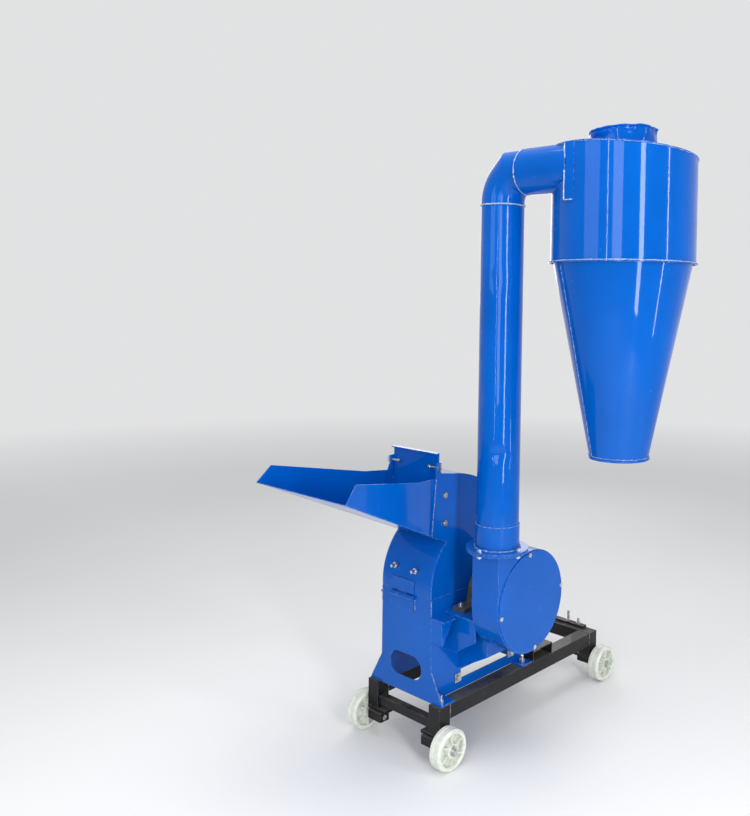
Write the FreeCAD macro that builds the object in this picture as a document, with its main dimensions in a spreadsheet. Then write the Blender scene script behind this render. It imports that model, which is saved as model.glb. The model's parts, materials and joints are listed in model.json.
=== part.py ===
"""Mobile hammer mill with feed tray, fan, riser pipe and cyclone, in millimetres.

X runs across the machine, with the fan on the +X side. Y runs along the frame, with the feed
tray at the -Y end. Z is up. The origin is on the floor, at the middle of the four wheels.
"""
import FreeCAD, Part
import math
import os
import Sketcher

FreeCAD.newDocument("HammerMill")
doc = FreeCAD.ActiveDocument

# ---------------------------------------------------------------- driving dimensions
SIZES = dict(
    wheel_diameter=150, wheel_width=52, wheel_base=1000, wheel_track=460, wheel_hub=26,
    wheel_rim=17, wheel_web=12, wheel_rib=6, axle_radius=10, axle_stub=14, axle_inner=112,
    frame_width=392, frame_overhang=12, rail_top=212, rail_height=54, rail_width=60,
    tube_wall=4, post_width=56, post_bottom=106, low_bar_foot=121, low_bar=33,
    bracket_length=96, bracket_plate=12, bracket_block=44,
    motor_rail_depth=130, motor_rail_height=46, motor_rail_gap=13, slot_length=60,
    slot_width=14, motor_slot_spacing=220, stop_bar_depth=30, stop_bar_height=10,
    casing_width=268, casing_length=527, plate=5, parting=597, kink=325,
    eye_length=170, eye_height=90, eye_centre=315,
    port_front=146, port_rear=400, window_front=166, window_rear=445, window_foot=250,
    window_head=287, tab_spacing=317,
    rotor_setback=245, shaft_radius=20, notch_radius=32,
    foot_length=66, foot_reach=60, foot_plate=6, foot_bolt=20,
    screen_radius=226, screen_sheet=3, screen_hole=6, screen_pitch=22, guide_width=8,
    pan_floor=295, pan_rim=470, pan_sheet=4,
    bracket_reach=130, shelf_top=540, shelf_plate=8, shelf_front=65,
    step_top=530, step_depth=72, step_reach=66, gusset_foot=440,
    housing_centre=183, housing_width=60, housing_base=300, housing_foot=16,
    housing_radius=66, housing_bolts=274, bearing_radius=45, bearing_inner=29,
    bearing_width=24, ball_radius=4.5, cap_plate=4, cap_radius=56,
    disc_radius=150, disc_plate=8, disc_gap=70, pin_circle=120, pin_radius=8,
    spacer_radius=28, hammer_reach=85, hammer_width=40, hammer_plate=6, hammer_offset=15,
    pulley_radius=80, pulley_width=70, pulley_face=224, groove_depth=14, groove_width=17,
    cover_lip_back=76, cover_lip=797, cover_front_radius=255, cover_stud_height=686,
    joint_foot=832,
    joint_head=1045, joint_lean=16, crown_back=24, crown=1065, top_back=104, top=1053,
    back_radius=457, liner_radius=228, liner_plate=7,
    tray_reach=500, tray_width=490, tray_front=1052, tray_crest=1110, tray_chamfer=50,
    tray_sheet=3, tray_bend=90, lap_depth=90, tray_bolt_top=978, tray_bolt_foot=873,
    tray_bolt_setback=60,
    gate_setback=39, gate_sheet=4, gate_top=1136, gate_height=270, gate_lip=14,
    gate_width=244, ear_height=56, clamp_height=1083, clamp_radius=4,
    hinge_left=-78, hinge_length=120, hinge_drop=14, barrel_radius=9, leaf_height=52,
    leaf_plate=4, hinge_pin_radius=4,
    fan_back=286, fan_width=124, fan_radius=190, fan_sheet=4, fan_mouth_top=804,
    fan_mouth_rear=184, cover_radius=184, fan_opening=172, impeller_radius=165,
    blade_width=66, blade_plate=4, hub_radius=34,
    duct_head=400, duct_fan_foot=379, duct_fan_head=520, duct_fan_rear=343, duct_sheet=3,
    port_foot=440,
    riser_x=350, riser_setback=116, riser_radius=78, riser_sheet=2.5, flange_radius=113,
    flange_plate=6, gasket=2, sleeve_top=903, riser_top=2049, bolt_circle=97,
    elbow_bend=1.3, elbow_rise=1.436, elbow_end=462, duct_step=4,
    cyclone_x=749, cyclone_setback=288, cyclone_radius=249, cyclone_sheet=2.5,
    seam=1845, lid_top=2212, lid_lean=4.9, lid_lean_way=58, lid_rim=3, cone_radius=238,
    outlet_radius=103, outlet_foot=1180,
    inlet_foot=2041, inlet_end=686, inlet_tab=35,
    collar_radius=113, collar_top=2308, finder_foot=1960, ring_lip=7, outlet_ring=10,
    running=0.05, gap=0.4, bolt_radius=6, screw_radius=4,
)

sheet = doc.addObject("Spreadsheet::Sheet", "Sizes")
for row, (alias, number) in enumerate(SIZES.items(), 1):
    sheet.set(f"A{row}", alias.replace("_", " "))
    sheet.set(f"B{row}", str(number))
    sheet.setAlias(f"B{row}", alias)
doc.recompute()


class Dim:
    """A length that carries its number and the spreadsheet expression that gives it."""

    def __init__(self, number, text):
        self.number = float(number)
        self.text = text

    @staticmethod
    def of(value):
        return value if isinstance(value, Dim) else Dim(value, repr(float(value)))

    def _join(self, other, sign, number):
        return Dim(number, f"({self.text} {sign} {other.text})")

    def __add__(self, other):
        other = Dim.of(other)
        return self._join(other, "+", self.number + other.number)

    def __sub__(self, other):
        other = Dim.of(other)
        return self._join(other, "-", self.number - other.number)

    def __mul__(self, other):
        other = Dim.of(other)
        return self._join(other, "*", self.number * other.number)

    def __truediv__(self, other):
        other = Dim.of(other)
        return self._join(other, "/", self.number / other.number)

    def __radd__(self, other):
        return Dim.of(other) + self

    def __rsub__(self, other):
        return Dim.of(other) - self

    def __rmul__(self, other):
        return Dim.of(other) * self

    def __neg__(self):
        return Dim(-self.number, f"(-1 * {self.text})")


def root(value):
    """Square root of a Dim."""
    return Dim(math.sqrt(value.number), f"sqrt({value.text})")


S = type("Sizes", (), {name: Dim(number, f"Sizes.{name}") for name, number in SIZES.items()})

# ---------------------------------------------------------------- building helpers
PARTS = {}
AXES = {"x": FreeCAD.Vector(1, 0, 0), "y": FreeCAD.Vector(0, 1, 0), "z": FreeCAD.Vector(0, 0, 1)}
PLANES = {"x": "YZ_Plane", "y": "XZ_Plane", "z": "XY_Plane"}


def bind(obj, prop, value):
    """Set a property from a Dim and tie it to the spreadsheet."""
    value = Dim.of(value)
    obj.setExpression(prop, value.text)
    return value.number


def place(obj, at, turn=None):
    """Put an object at a point given by three Dims, turned by a rotation."""
    point = [Dim.of(v) for v in at]
    base = FreeCAD.Vector(*[v.number for v in point])
    obj.Placement = FreeCAD.Placement(base, turn or FreeCAD.Rotation())
    for name, value in zip("xyz", point):
        obj.setExpression(f"Placement.Base.{name}", value.text)


def keep(obj, label):
    """Name a finished sub-part; the label is also its file name."""
    obj.Label = label
    PARTS[label] = obj
    return obj


def box(low, high, name="Block"):
    """Block between two corners."""
    low = [Dim.of(v) for v in low]
    high = [Dim.of(v) for v in high]
    obj = doc.addObject("Part::Box", name)
    for prop, a, b in zip(("Length", "Width", "Height"), low, high):
        bind(obj, prop, b - a)
    place(obj, low)
    return obj


def rod(start, axis, length, radius, name="Rod"):
    """Cylinder that starts at a point and runs along +x, +y or +z."""
    obj = doc.addObject("Part::Cylinder", name)
    bind(obj, "Radius", radius)
    bind(obj, "Height", length)
    place(obj, start, FreeCAD.Rotation(AXES["z"], AXES[axis]))
    return obj


def hexagon(start, axis, length, corner_radius, name="Hexagon"):
    """Hexagonal prism that starts at a point and runs along +x, +y or +z."""
    obj = doc.addObject("Part::Prism", name)
    obj.Polygon = 6
    bind(obj, "Circumradius", corner_radius)
    bind(obj, "Height", length)
    place(obj, start, FreeCAD.Rotation(AXES["z"], AXES[axis]))
    return obj


def cut(base, *tools):
    """The base with each tool taken away."""
    for tool in tools:
        obj = doc.addObject("Part::Cut", "Cut")
        obj.Base = base
        obj.Tool = tool
        base = obj
    return base


def fuse(*pieces):
    """Pieces welded into one."""
    obj = doc.addObject("Part::MultiFuse", "Fuse")
    obj.Shapes = list(pieces)
    return obj


def common(base, tool):
    """What two pieces share."""
    obj = doc.addObject("Part::Common", "Common")
    obj.Base = base
    obj.Tool = tool
    return obj


def group(*pieces):
    """Separate solids that share one node."""
    obj = doc.addObject("Part::Compound", "Group")
    obj.Links = list(pieces)
    return obj


def origin_plane(body, axis):
    for feature in body.Origin.OriginFeatures:
        if feature.Role == PLANES[axis]:
            return feature
    raise RuntimeError(f"no plane {axis}")


def sketch_on(body, axis, offset):
    """Sketch on the body's own plane across an axis, lifted to an offset along that axis.

    Sketch axes are (Y, Z) across x, (X, Z) across y and (X, Y) across z. The normal of the
    plane across y points to -Y, so its offset is turned round.
    """
    sketch = body.newObject("Sketcher::SketchObject", "Sketch")
    sketch.AttachmentSupport = (origin_plane(body, axis), [""])
    sketch.MapMode = "FlatFace"
    lift = -Dim.of(offset) if axis == "y" else Dim.of(offset)
    sketch.AttachmentOffset = FreeCAD.Placement(
        FreeCAD.Vector(0, 0, lift.number), FreeCAD.Rotation())
    sketch.setExpression("AttachmentOffset.Base.z", lift.text)
    return sketch


def tie(sketch, kind, where, value):
    """Add a dimension and bind it to the spreadsheet."""
    value = Dim.of(value)
    index = sketch.addConstraint(Sketcher.Constraint(kind, *where, value.number))
    sketch.renameConstraint(index, f"size{index}")
    sketch.setExpression(f"Constraints.size{index}", value.text)


def pin_point(sketch, geometry, end, point):
    """Hold a point at its coordinates from the sketch origin."""
    for kind, axis, value in (("DistanceX", -2, point[0]), ("DistanceY", -1, point[1])):
        if abs(value.number) < 1e-9 and "Sizes" not in value.text:
            where = (geometry, end, axis)
            sketch.addConstraint(Sketcher.Constraint("PointOnObject", *where))
        else:
            tie(sketch, kind, (-1, 1, geometry, end), value)


def add_arc(sketch, a, b, radius):
    """Add the short arc from a to b and say which of its ends come first and last.

    A positive radius bulges to the right of travel. Sketch arcs run anticlockwise, so an arc
    that bulges to the left is drawn from b to a.
    """
    chord = b - a
    half = chord.Length / 2
    rise = abs(radius) - math.sqrt(max(radius * radius - half * half, 0.0))
    side = FreeCAD.Vector(chord.y, -chord.x, 0).normalize()
    middle = (a + b) * 0.5 + side * (rise if radius > 0 else -rise)
    if radius > 0:
        sketch.addGeometry(Part.Arc(a, middle, b))
        return (1, 2)
    sketch.addGeometry(Part.Arc(b, middle, a))
    return (2, 1)


def outline(sketch, corners):
    """Closed outline. A corner is (u, v), or (u, v, radius) where an arc leaves it."""
    rows = [[Dim.of(v) for v in corner] for corner in corners]
    points = [FreeCAD.Vector(c[0].number, c[1].number, 0) for c in rows]
    first = sketch.GeometryCount
    ends = []
    for i, corner in enumerate(rows):
        a = points[i]
        b = points[(i + 1) % len(rows)]
        if len(corner) == 3:
            ends.append(add_arc(sketch, a, b, corner[2].number))
        else:
            sketch.addGeometry(Part.LineSegment(a, b))
            ends.append((1, 2))
    for i, corner in enumerate(rows):
        following = (i + 1) % len(rows)
        where = (first + i, ends[i][1], first + following, ends[following][0])
        sketch.addConstraint(Sketcher.Constraint("Coincident", *where))
    for i, corner in enumerate(rows):
        pin_point(sketch, first + i, ends[i][0], corner)
        if len(corner) == 3:
            size = corner[2]
            if size.number < 0:
                size = -size
            tie(sketch, "Radius", (first + i,), size)


def circle(sketch, centre, radius):
    centre = [Dim.of(v) for v in centre]
    radius = Dim.of(radius)
    middle = FreeCAD.Vector(centre[0].number, centre[1].number, 0)
    index = sketch.addGeometry(Part.Circle(middle, FreeCAD.Vector(0, 0, 1), radius.number))
    pin_point(sketch, index, 3, centre)
    tie(sketch, "Radius", (index,), radius)


def stadium(u, v, length, height):
    """Corners of a slot with round ends, long in u."""
    flat = (length - height) / 2
    r = height / 2
    return [(u - flat, v - r), (u + flat, v - r, r), (u + flat + r, v, r), (u + flat, v + r),
            (u - flat, v + r, r), (u - flat - r, v, r)]


def ring_sector(u, v, outer, thickness, corners):
    """Corners of a curved strip; corners are unit directions (cos, sin) along the arc."""
    far = [(u + outer * c, v + outer * s, outer) for c, s in corners]
    inner = outer - thickness
    near = [(u + inner * c, v + inner * s, -inner) for c, s in reversed(corners)]
    far[-1] = far[-1][:2]
    near[-1] = near[-1][:2]
    return far + near


def directions(first, last, count):
    """Unit directions from one angle to another, in degrees."""
    angles = [math.radians(first + (last - first) * i / count) for i in range(count + 1)]
    return [(math.cos(a), math.sin(a)) for a in angles]


def extrude(axis, low, high, corners, holes=(), circles=()):
    """Body padded from an outline, from low to high along an axis."""
    body = doc.addObject("PartDesign::Body", "Body")
    start = high if axis == "y" else low
    sketch = sketch_on(body, axis, start)
    outline(sketch, corners)
    for hole in holes:
        outline(sketch, hole)
    for centre, radius in circles:
        circle(sketch, centre, radius)
    pad = body.newObject("PartDesign::Pad", "Pad")
    pad.Profile = sketch
    bind(pad, "Length", Dim.of(high) - Dim.of(low))
    return body


def disc(axis, low, high, centre, radius, holes=()):
    """Round plate with round holes, from low to high along an axis."""
    body = doc.addObject("PartDesign::Body", "Body")
    start = high if axis == "y" else low
    sketch = sketch_on(body, axis, start)
    circle(sketch, centre, radius)
    for hole_centre, hole_radius in holes:
        circle(sketch, hole_centre, hole_radius)
    pad = body.newObject("PartDesign::Pad", "Pad")
    pad.Profile = sketch
    bind(pad, "Length", Dim.of(high) - Dim.of(low))
    return body


def pocket(body, axis, low, high, corners=(), circles=()):
    """Cut an outline or circles from a body, from low to high along an axis."""
    before = solid_volume(body)
    start = high if axis == "y" else low
    sketch = sketch_on(body, axis, start)
    if corners:
        outline(sketch, corners)
    for centre, radius in circles:
        circle(sketch, centre, radius)
    hole = body.newObject("PartDesign::Pocket", "Pocket")
    hole.Profile = sketch
    hole.Reversed = True
    bind(hole, "Length", Dim.of(high) - Dim.of(low))
    if not solid_volume(body) < before:
        raise RuntimeError(f"a pocket in {body.Name} cuts nothing")
    return hole


def solid_volume(body):
    doc.recompute()
    return body.Shape.Volume


def lathe(corners, about, at=(0, 0, 0)):
    """Body turned about the x or z axis through a point.

    Corners are (along x, radius) about x and (radius, along z) about z.
    """
    body = doc.addObject("PartDesign::Body", "Body")
    sketch = sketch_on(body, "y", 0)
    outline(sketch, corners)
    turn = body.newObject("PartDesign::Revolution", "Revolution")
    turn.Profile = sketch
    turn.ReferenceAxis = (sketch, ["H_Axis" if about == "x" else "V_Axis"])
    turn.Angle = 360
    place(body, at)
    return body


def bolt(at, axis, grip, radius, tail=0, head=None, nut_at_head=True):
    """Hexagon bolt along an axis: head, shank through the grip, and a nut on the tail.

    The point is where the head meets the work; the shank runs the negative way.
    """
    radius = Dim.of(radius)
    grip = Dim.of(grip)
    tail = Dim.of(tail)
    head = Dim.of(radius * 1.25 if head is None else head)
    step = {"x": 0, "y": 1, "z": 2}[axis]

    def along(distance):
        point = [Dim.of(v) for v in at]
        point[step] = point[step] + distance
        return point

    pieces = [rod(along(-(grip + tail)), axis, grip + tail + head, radius, "Shank")]
    if nut_at_head:
        pieces.append(hexagon(along(0), axis, head, radius * 2, "Head"))
    if tail.number > 0:
        nut = radius * 1.5
        pieces.append(hexagon(along(-(grip + nut)), axis, nut, radius * 2, "Nut"))
    return fuse(*pieces)


# ---------------------------------------------------------------- shared places
FRONT = -(S.wheel_base / 2)
FRAME_FRONT = FRONT - S.frame_overhang
FRAME_REAR = S.wheel_base / 2 + S.frame_overhang - 5
FRAME_SIDE = S.frame_width / 2
RAIL_IN = FRAME_SIDE - S.rail_width
RAIL_FOOT = S.rail_top - S.rail_height
POST_IN = FRAME_SIDE - S.post_width
SIDE = S.casing_width / 2
SIDE_IN = SIDE - S.plate
REAR = FRONT + S.casing_length
ROTOR_Y = FRONT + S.rotor_setback
AXLE_Z = S.wheel_diameter / 2
WHEEL_X = S.wheel_track / 2
WHEEL_FACE = WHEEL_X + S.wheel_width / 2
FOOT_TOP = S.rail_top + S.foot_plate
RAIL_MID = FRAME_SIDE - S.rail_width / 2
FOOT_ROWS = (FRONT + S.plate, REAR - S.foot_length + 10)
FOOT_BOLTS = (FOOT_ROWS[0] + S.foot_bolt, FOOT_ROWS[1] + S.foot_length / 2)
RISER_Y = FRONT + S.riser_setback
CYCLONE_Y = FRONT + S.cyclone_setback
HINGE_Y = FRONT - S.barrel_radius
HINGE_Z = S.parting - S.hinge_drop
SPLIT = S.parting + S.gap
SIDES = (("left", -1), ("right", 1))
COVER_STUDS = (-64, 46)
ELBOW_Z = S.riser_top + S.riser_radius * S.elbow_rise


def across(side, low, high):
    """A span in x on one side of the machine: -1 is the left, 1 the right."""
    return (low, high) if side > 0 else (-high, -low)


# ---------------------------------------------------------------- chassis
def make_chassis():
    motor_low = REAR + S.motor_rail_gap
    motor_high = motor_low + S.motor_rail_depth
    motor_mid = (motor_low + motor_high) / 2
    motor_top = S.rail_top + S.motor_rail_height
    rails = []
    members = []
    for name, side in SIDES:
        low, high = across(side, RAIL_IN, FRAME_SIDE)
        span = (FRAME_FRONT + S.post_width, FRAME_REAR - S.post_width)
        outside = box((low, span[0], RAIL_FOOT), (high, span[1], S.rail_top))
        inside = box((low + S.tube_wall, span[0] - 1, RAIL_FOOT + S.tube_wall),
                     (high - S.tube_wall, span[1] + 1, S.rail_top - S.tube_wall))
        drill = rod((RAIL_MID * side, FOOT_BOLTS[1], RAIL_FOOT + 10), "z", S.rail_height,
                    S.bolt_radius + S.running)
        rails.append(cut(outside, inside, drill))
        for end, y in (("front", FRAME_FRONT), ("rear", FRAME_REAR - S.post_width)):
            x = across(side, POST_IN, FRAME_SIDE)
            post = box((x[0], y, S.post_bottom), (x[1], y + S.post_width, S.rail_top))
            bore = box((x[0] + S.tube_wall, y + S.tube_wall, S.post_bottom - 1),
                       (x[1] - S.tube_wall, y + S.post_width - S.tube_wall,
                        S.rail_top - S.tube_wall))
            pieces = [post, bore]
            if end == "front":
                pieces.append(rod((RAIL_MID * side, FOOT_BOLTS[0], RAIL_FOOT + 10), "z",
                                  S.rail_height, S.bolt_radius + S.running))
            members.append(cut(*pieces))
    keep(group(*rails), "side_rails")
    bar_y = FRAME_FRONT + 8
    members.append(cut(
        box((-POST_IN, bar_y, S.low_bar_foot),
            (POST_IN, bar_y + S.low_bar, S.low_bar_foot + S.low_bar)),
        box((-POST_IN - 1, bar_y + S.tube_wall, S.low_bar_foot + S.tube_wall),
            (POST_IN + 1, bar_y + S.low_bar - S.tube_wall,
             S.low_bar_foot + S.low_bar - S.tube_wall))))
    rear_low = FRAME_REAR - S.post_width
    bar = box((-POST_IN, rear_low, RAIL_FOOT), (POST_IN, FRAME_REAR, S.rail_top))
    hollow = box((-POST_IN - 1, rear_low + S.tube_wall, RAIL_FOOT + S.tube_wall),
                 (POST_IN + 1, FRAME_REAR - S.tube_wall, S.rail_top - S.tube_wall))
    stud_y = FRAME_REAR - S.stop_bar_depth / 2
    studs = [(50, 50), (106, 28)]
    drills = [rod((x, stud_y, S.rail_top - 12), "z", S.stop_bar_height + 24,
                  S.bolt_radius + S.running) for x, rise in studs]
    members.append(cut(bar, hollow, *drills))
    stop = box((-POST_IN, FRAME_REAR - S.stop_bar_depth, S.rail_top),
               (POST_IN, FRAME_REAR, S.rail_top + S.stop_bar_height))
    stop_drills = [rod((x, stud_y, S.rail_top - 12), "z", S.stop_bar_height + 24,
                       S.bolt_radius + S.running) for x, rise in studs]
    members.append(cut(stop, *stop_drills))
    keep(group(*members), "chassis_members")
    stop_top = S.rail_top + S.stop_bar_height
    adjusters = []
    for x, rise in studs:
        shank = rod((x, stud_y, S.rail_top - S.tube_wall - 6), "z",
                    S.stop_bar_height + S.tube_wall + 6 + rise, S.bolt_radius)
        adjusters.append(fuse(shank, hexagon((x, stud_y, stop_top), "z", S.bolt_radius * 1.5,
                                             S.bolt_radius * 2)))
    keep(group(*adjusters), "motor_adjusters")
    slots = [stadium(S.motor_slot_spacing / 2 * side, motor_mid, S.slot_length, S.slot_width)
             for name, side in SIDES]
    top = extrude("z", motor_top - S.tube_wall, motor_top,
                  [(-FRAME_SIDE, motor_low), (FRAME_SIDE, motor_low),
                   (FRAME_SIDE, motor_high), (-FRAME_SIDE, motor_high)], slots)
    skirts = [box((-FRAME_SIDE, y, S.rail_top), (FRAME_SIDE, y + S.tube_wall, motor_top - 2))
              for y in (motor_low, motor_high - S.tube_wall)]
    keep(fuse(top, *skirts), "motor_rail")
    brackets = []
    axles = []
    for y in (FRONT, S.wheel_base / 2):
        post_mid = FRAME_FRONT + S.post_width / 2 if y is FRONT else FRAME_REAR - S.post_width / 2
        for name, side in SIDES:
            x = across(side, FRAME_SIDE - S.bracket_length, FRAME_SIDE)
            half = S.bracket_block / 2
            plate = box((x[0], post_mid - S.post_width / 2, S.post_bottom - S.bracket_plate),
                        (x[1], post_mid + S.post_width / 2, S.post_bottom))
            block = box((x[0] + 12, y - half, AXLE_Z - 15),
                        (x[1] - 12, y + half, S.post_bottom - S.bracket_plate))
            inner = across(side, S.axle_inner, WHEEL_FACE + S.axle_stub)
            bore = rod((x[0] - 1, y, AXLE_Z), "x", S.bracket_length + 2,
                       S.axle_radius + S.running)
            brackets.append(cut(fuse(plate, block), bore))
            pin_x = (WHEEL_FACE + 9) * side
            spindle = rod((inner[0], y, AXLE_Z), "x", inner[1] - inner[0], S.axle_radius)
            pin_hole = rod((pin_x, y, AXLE_Z - 12), "z", 24, 2.1)
            axles.append(cut(spindle, pin_hole))
            face = across(side, WHEEL_FACE + S.gap, WHEEL_FACE + S.gap + 3)
            axles.append(cut(rod((face[0], y, AXLE_Z), "x", 3, 17),
                               rod((face[0] - 1, y, AXLE_Z), "x", 5, S.axle_radius + 0.1)))
            legs = fuse(rod((pin_x, y, AXLE_Z - 20), "z", 34, 2),
                        cut(rod((pin_x - 2, y, AXLE_Z + 16), "x", 4, 5),
                            rod((pin_x - 3, y, AXLE_Z + 16), "x", 6, 2.5)))
            axles.append(legs)
    keep(group(*brackets), "axle_brackets")
    keep(group(*axles), "stub_axles")


def make_wheel(label, side, y):
    """Moulded wheel: solid rim, thin web with ribs, and a hub with a plain bore."""
    half = S.wheel_width / 2
    tread = S.wheel_diameter / 2
    rim = tread - S.wheel_rim
    bore = S.axle_radius + S.running
    web = S.wheel_web / 2
    soft = 6
    corners = [(-half, bore), (half, bore), (half, S.wheel_hub), (web, S.wheel_hub),
               (web, rim), (half - 3, rim), (half, rim + 3), (half, tread - soft),
               (half - soft, tread), (6, tread), (4, tread - 1.5), (-4, tread - 1.5),
               (-6, tread), (soft - half, tread), (-half, tread - soft), (-half, rim + 3),
               (3 - half, rim), (-web, rim), (-web, S.wheel_hub), (-half, S.wheel_hub)]
    wheel = lathe(corners, "x", (0, 0, 0))
    rib = wheel.newObject("Sketcher::SketchObject", "Sketch")
    rib.AttachmentSupport = (origin_plane(wheel, "y"), [""])
    rib.MapMode = "FlatFace"
    reach = half - 4
    outline(rib, [(-reach, S.wheel_hub - 2), (reach, S.wheel_hub - 2), (reach, rim + 1),
                  (-reach, rim + 1)])
    pad = wheel.newObject("PartDesign::Pad", "Rib")
    pad.Profile = rib
    pad.Midplane = True
    bind(pad, "Length", S.wheel_rib)
    pattern = wheel.newObject("PartDesign::PolarPattern", "Ribs")
    pattern.Originals = [pad]
    pattern.Axis = (wheel_axis(wheel), [""])
    pattern.Angle = 360
    pattern.Occurrences = 6
    wheel.Tip = pattern
    place(wheel, (WHEEL_X * side, y, AXLE_Z))
    keep(wheel, label)


def wheel_axis(body):
    for feature in body.Origin.OriginFeatures:
        if feature.Role == "X_Axis":
            return feature
    raise RuntimeError("no x axis")


# ---------------------------------------------------------------- lower casing
def fan_port_corners():
    """Opening from the suction duct into the back of the fan."""
    wall = S.duct_sheet
    front = FRONT + S.port_front + wall
    rear = FRONT + S.duct_fan_rear - wall
    head = S.duct_fan_head - wall
    return [(front, S.port_foot), (rear, S.port_foot), (rear, head), (front, head)]


def make_lower_casing():
    eye = stadium(Dim.of(0), S.eye_centre, S.eye_length, S.eye_height)
    front = extrude("y", FRONT, FRONT + S.plate,
                    [(-FRAME_SIDE, S.rail_top), (FRAME_SIDE, S.rail_top), (SIDE, S.kink),
                     (SIDE, S.parting), (-SIDE, S.parting), (-SIDE, S.kink)], [eye])
    keep(front, "casing_front")
    keep(box((-SIDE, REAR - S.plate, S.rail_top), (SIDE, REAR, S.parting)), "casing_rear")
    low = FRONT + S.plate
    high = REAR - S.plate
    notch = S.notch_radius
    t = S.duct_sheet
    holes_right = []
    for y_low, y_high, foot, head in (
            (S.window_front, S.window_rear, S.window_foot, S.window_head),
            (S.port_front + t, S.port_rear - t, S.pan_floor + t, S.duct_head - t)):
        holes_right.append([(FRONT + y_low, foot), (FRONT + y_high, foot),
                            (FRONT + y_high, head), (FRONT + y_low, head)])
    for name, side in SIDES:
        x = across(side, SIDE_IN, SIDE)
        corners = [(low, S.rail_top), (high, S.rail_top), (high, S.parting),
                   (ROTOR_Y + notch, S.parting, -notch), (ROTOR_Y, S.parting - notch, -notch),
                   (ROTOR_Y - notch, S.parting), (low, S.parting)]
        holes = holes_right if side > 0 else []
        keep(extrude("x", x[0], x[1], corners, holes), f"casing_side_{name}")
    feet = []
    bolts = []
    for y, bolt_y in zip(FOOT_ROWS, FOOT_BOLTS):
        for name, side in SIDES:
            x = across(side, SIDE, SIDE + S.foot_reach)
            plate = box((x[0], y, S.rail_top), (x[1], y + S.foot_length, FOOT_TOP))
            middle = (RAIL_MID * side, bolt_y)
            feet.append(cut(plate, rod((*middle, S.rail_top - 1), "z", S.foot_plate + 2,
                                       S.bolt_radius + S.running)))
            shank = rod((*middle, S.rail_top - S.tube_wall - 9), "z", 45, S.bolt_radius)
            bolts.append(fuse(shank, hexagon((*middle, FOOT_TOP), "z", 10, 12),
                              hexagon((*middle, S.rail_top - S.tube_wall - 9), "z", 9, 12)))
    keep(group(*feet, *make_corner_gussets()), "casing_lugs")
    return bolts


def make_screen():
    """Perforated sieve round the lower half of the rotor, and the guides that hold it."""
    outer = S.screen_radius + S.screen_sheet
    arc = directions(188, 352, 4)
    half = SIDE_IN - S.gap
    screen = extrude("x", -half, half,
                     ring_sector(ROTOR_Y, S.parting, outer, S.screen_sheet, arc))
    columns = 9
    pitch = S.screen_pitch
    for step in range(-5, 6):
        angle = math.radians(270 + 13 * step)
        doc.recompute()
        holes = [rod((pitch * i, ROTOR_Y, S.parting), "z", outer + 5, S.screen_hole)
                 for i in range(-(columns // 2), columns // 2 + 1)]
        for hole in holes:
            tilt = FreeCAD.Rotation(AXES["z"], FreeCAD.Vector(0, math.cos(angle),
                                                               math.sin(angle)))
            hole.Placement = FreeCAD.Placement(hole.Placement.Base, tilt)
        screen = cut(screen, group(*holes))
    keep(screen, "screen")
    wall = directions(186, 354, 4)
    guides = []
    for name, side in SIDES:
        x = across(side, SIDE_IN - S.guide_width, SIDE_IN)
        guides.append(extrude("x", x[0], x[1], ring_sector(
            ROTOR_Y, S.parting, outer + S.gap + S.guide_width, S.guide_width, wall)))
    return guides


def make_discharge(guides):
    """Pan below the screen, and the duct that lifts the meal to the fan."""
    front = FRONT + S.port_front
    rear = FRONT + S.port_rear
    floor = S.pan_floor
    rim = S.pan_rim
    t = S.pan_sheet
    low = FRONT + S.plate
    high = REAR - S.plate
    pan = extrude("x", -SIDE_IN, SIDE_IN,
                  [(low, rim), (front, floor), (rear, floor), (high, rim), (high - t, rim + t),
                   (rear - t / 2, floor + t), (front + t / 2, floor + t), (low + t, rim + t)])
    keep(group(pan, *guides), "discharge_pan")
    mouth_rear = FRONT + S.duct_fan_rear
    wall = S.duct_sheet
    duct = doc.addObject("PartDesign::Body", "Body")
    for inset, end_x, kind in ((Dim.of(0), S.fan_back, "PartDesign::AdditiveLoft"),
                               (wall, S.fan_back - wall, "PartDesign::SubtractiveLoft")):
        ends = []
        for x, foot, head, back in ((SIDE, floor, S.duct_head, rear),
                                    (end_x, S.duct_fan_foot, S.duct_fan_head, mouth_rear)):
            sketch = sketch_on(duct, "x", x)
            outline(sketch, [(front + inset, foot + inset), (back - inset, foot + inset),
                             (back - inset, head - inset), (front + inset, head - inset)])
            ends.append(sketch)
        loft = duct.newObject(kind, "Loft")
        loft.Profile = ends[0]
        loft.Sections = [ends[1]]
        loft.Ruled = True
    pocket(duct, "x", S.fan_back - wall * 2, S.fan_back + 1, fan_port_corners())
    keep(duct, "suction_duct")
    clamps = []
    for y in (front, front + S.tab_spacing):
        centre = S.window_foot + 10
        x = SIDE
        clamps.append(cut(box((x, y - 17, centre - 17), (x + 5, y + 17, centre + 17)),
                        rod((x - 1, y, centre), "x", 7, S.bolt_radius + S.running)))
        clamps.append(bolt((x + 5.5, y, centre), "x", 5, S.bolt_radius))
    return clamps


def make_corner_gussets():
    """Boxed step on the right front corner of the casing."""
    gussets = []
    for name, side in SIDES[1:]:
        web = across(side, SIDE + 50, SIDE + 56)
        step = across(side, SIDE, SIDE + S.step_reach)
        top = box((step[0], FRONT, S.step_top - 6),
                  (step[1], FRONT + S.step_depth - 8, S.step_top))
        fin = extrude("x", web[0], web[1], [
            (FRONT, S.gusset_foot), (FRONT + 5, S.gusset_foot),
            (FRONT + S.step_depth - 8, S.step_top - 5), (FRONT, S.step_top - 5)])
        face = extrude("y", FRONT, FRONT + 5, [
            (SIDE * side, S.gusset_foot), ((SIDE + 56) * side, S.gusset_foot),
            ((SIDE + 56) * side, S.step_top - 5), (SIDE * side, S.step_top - 5)])
        gussets.append(fuse(top, fin, face))
    return gussets


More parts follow.
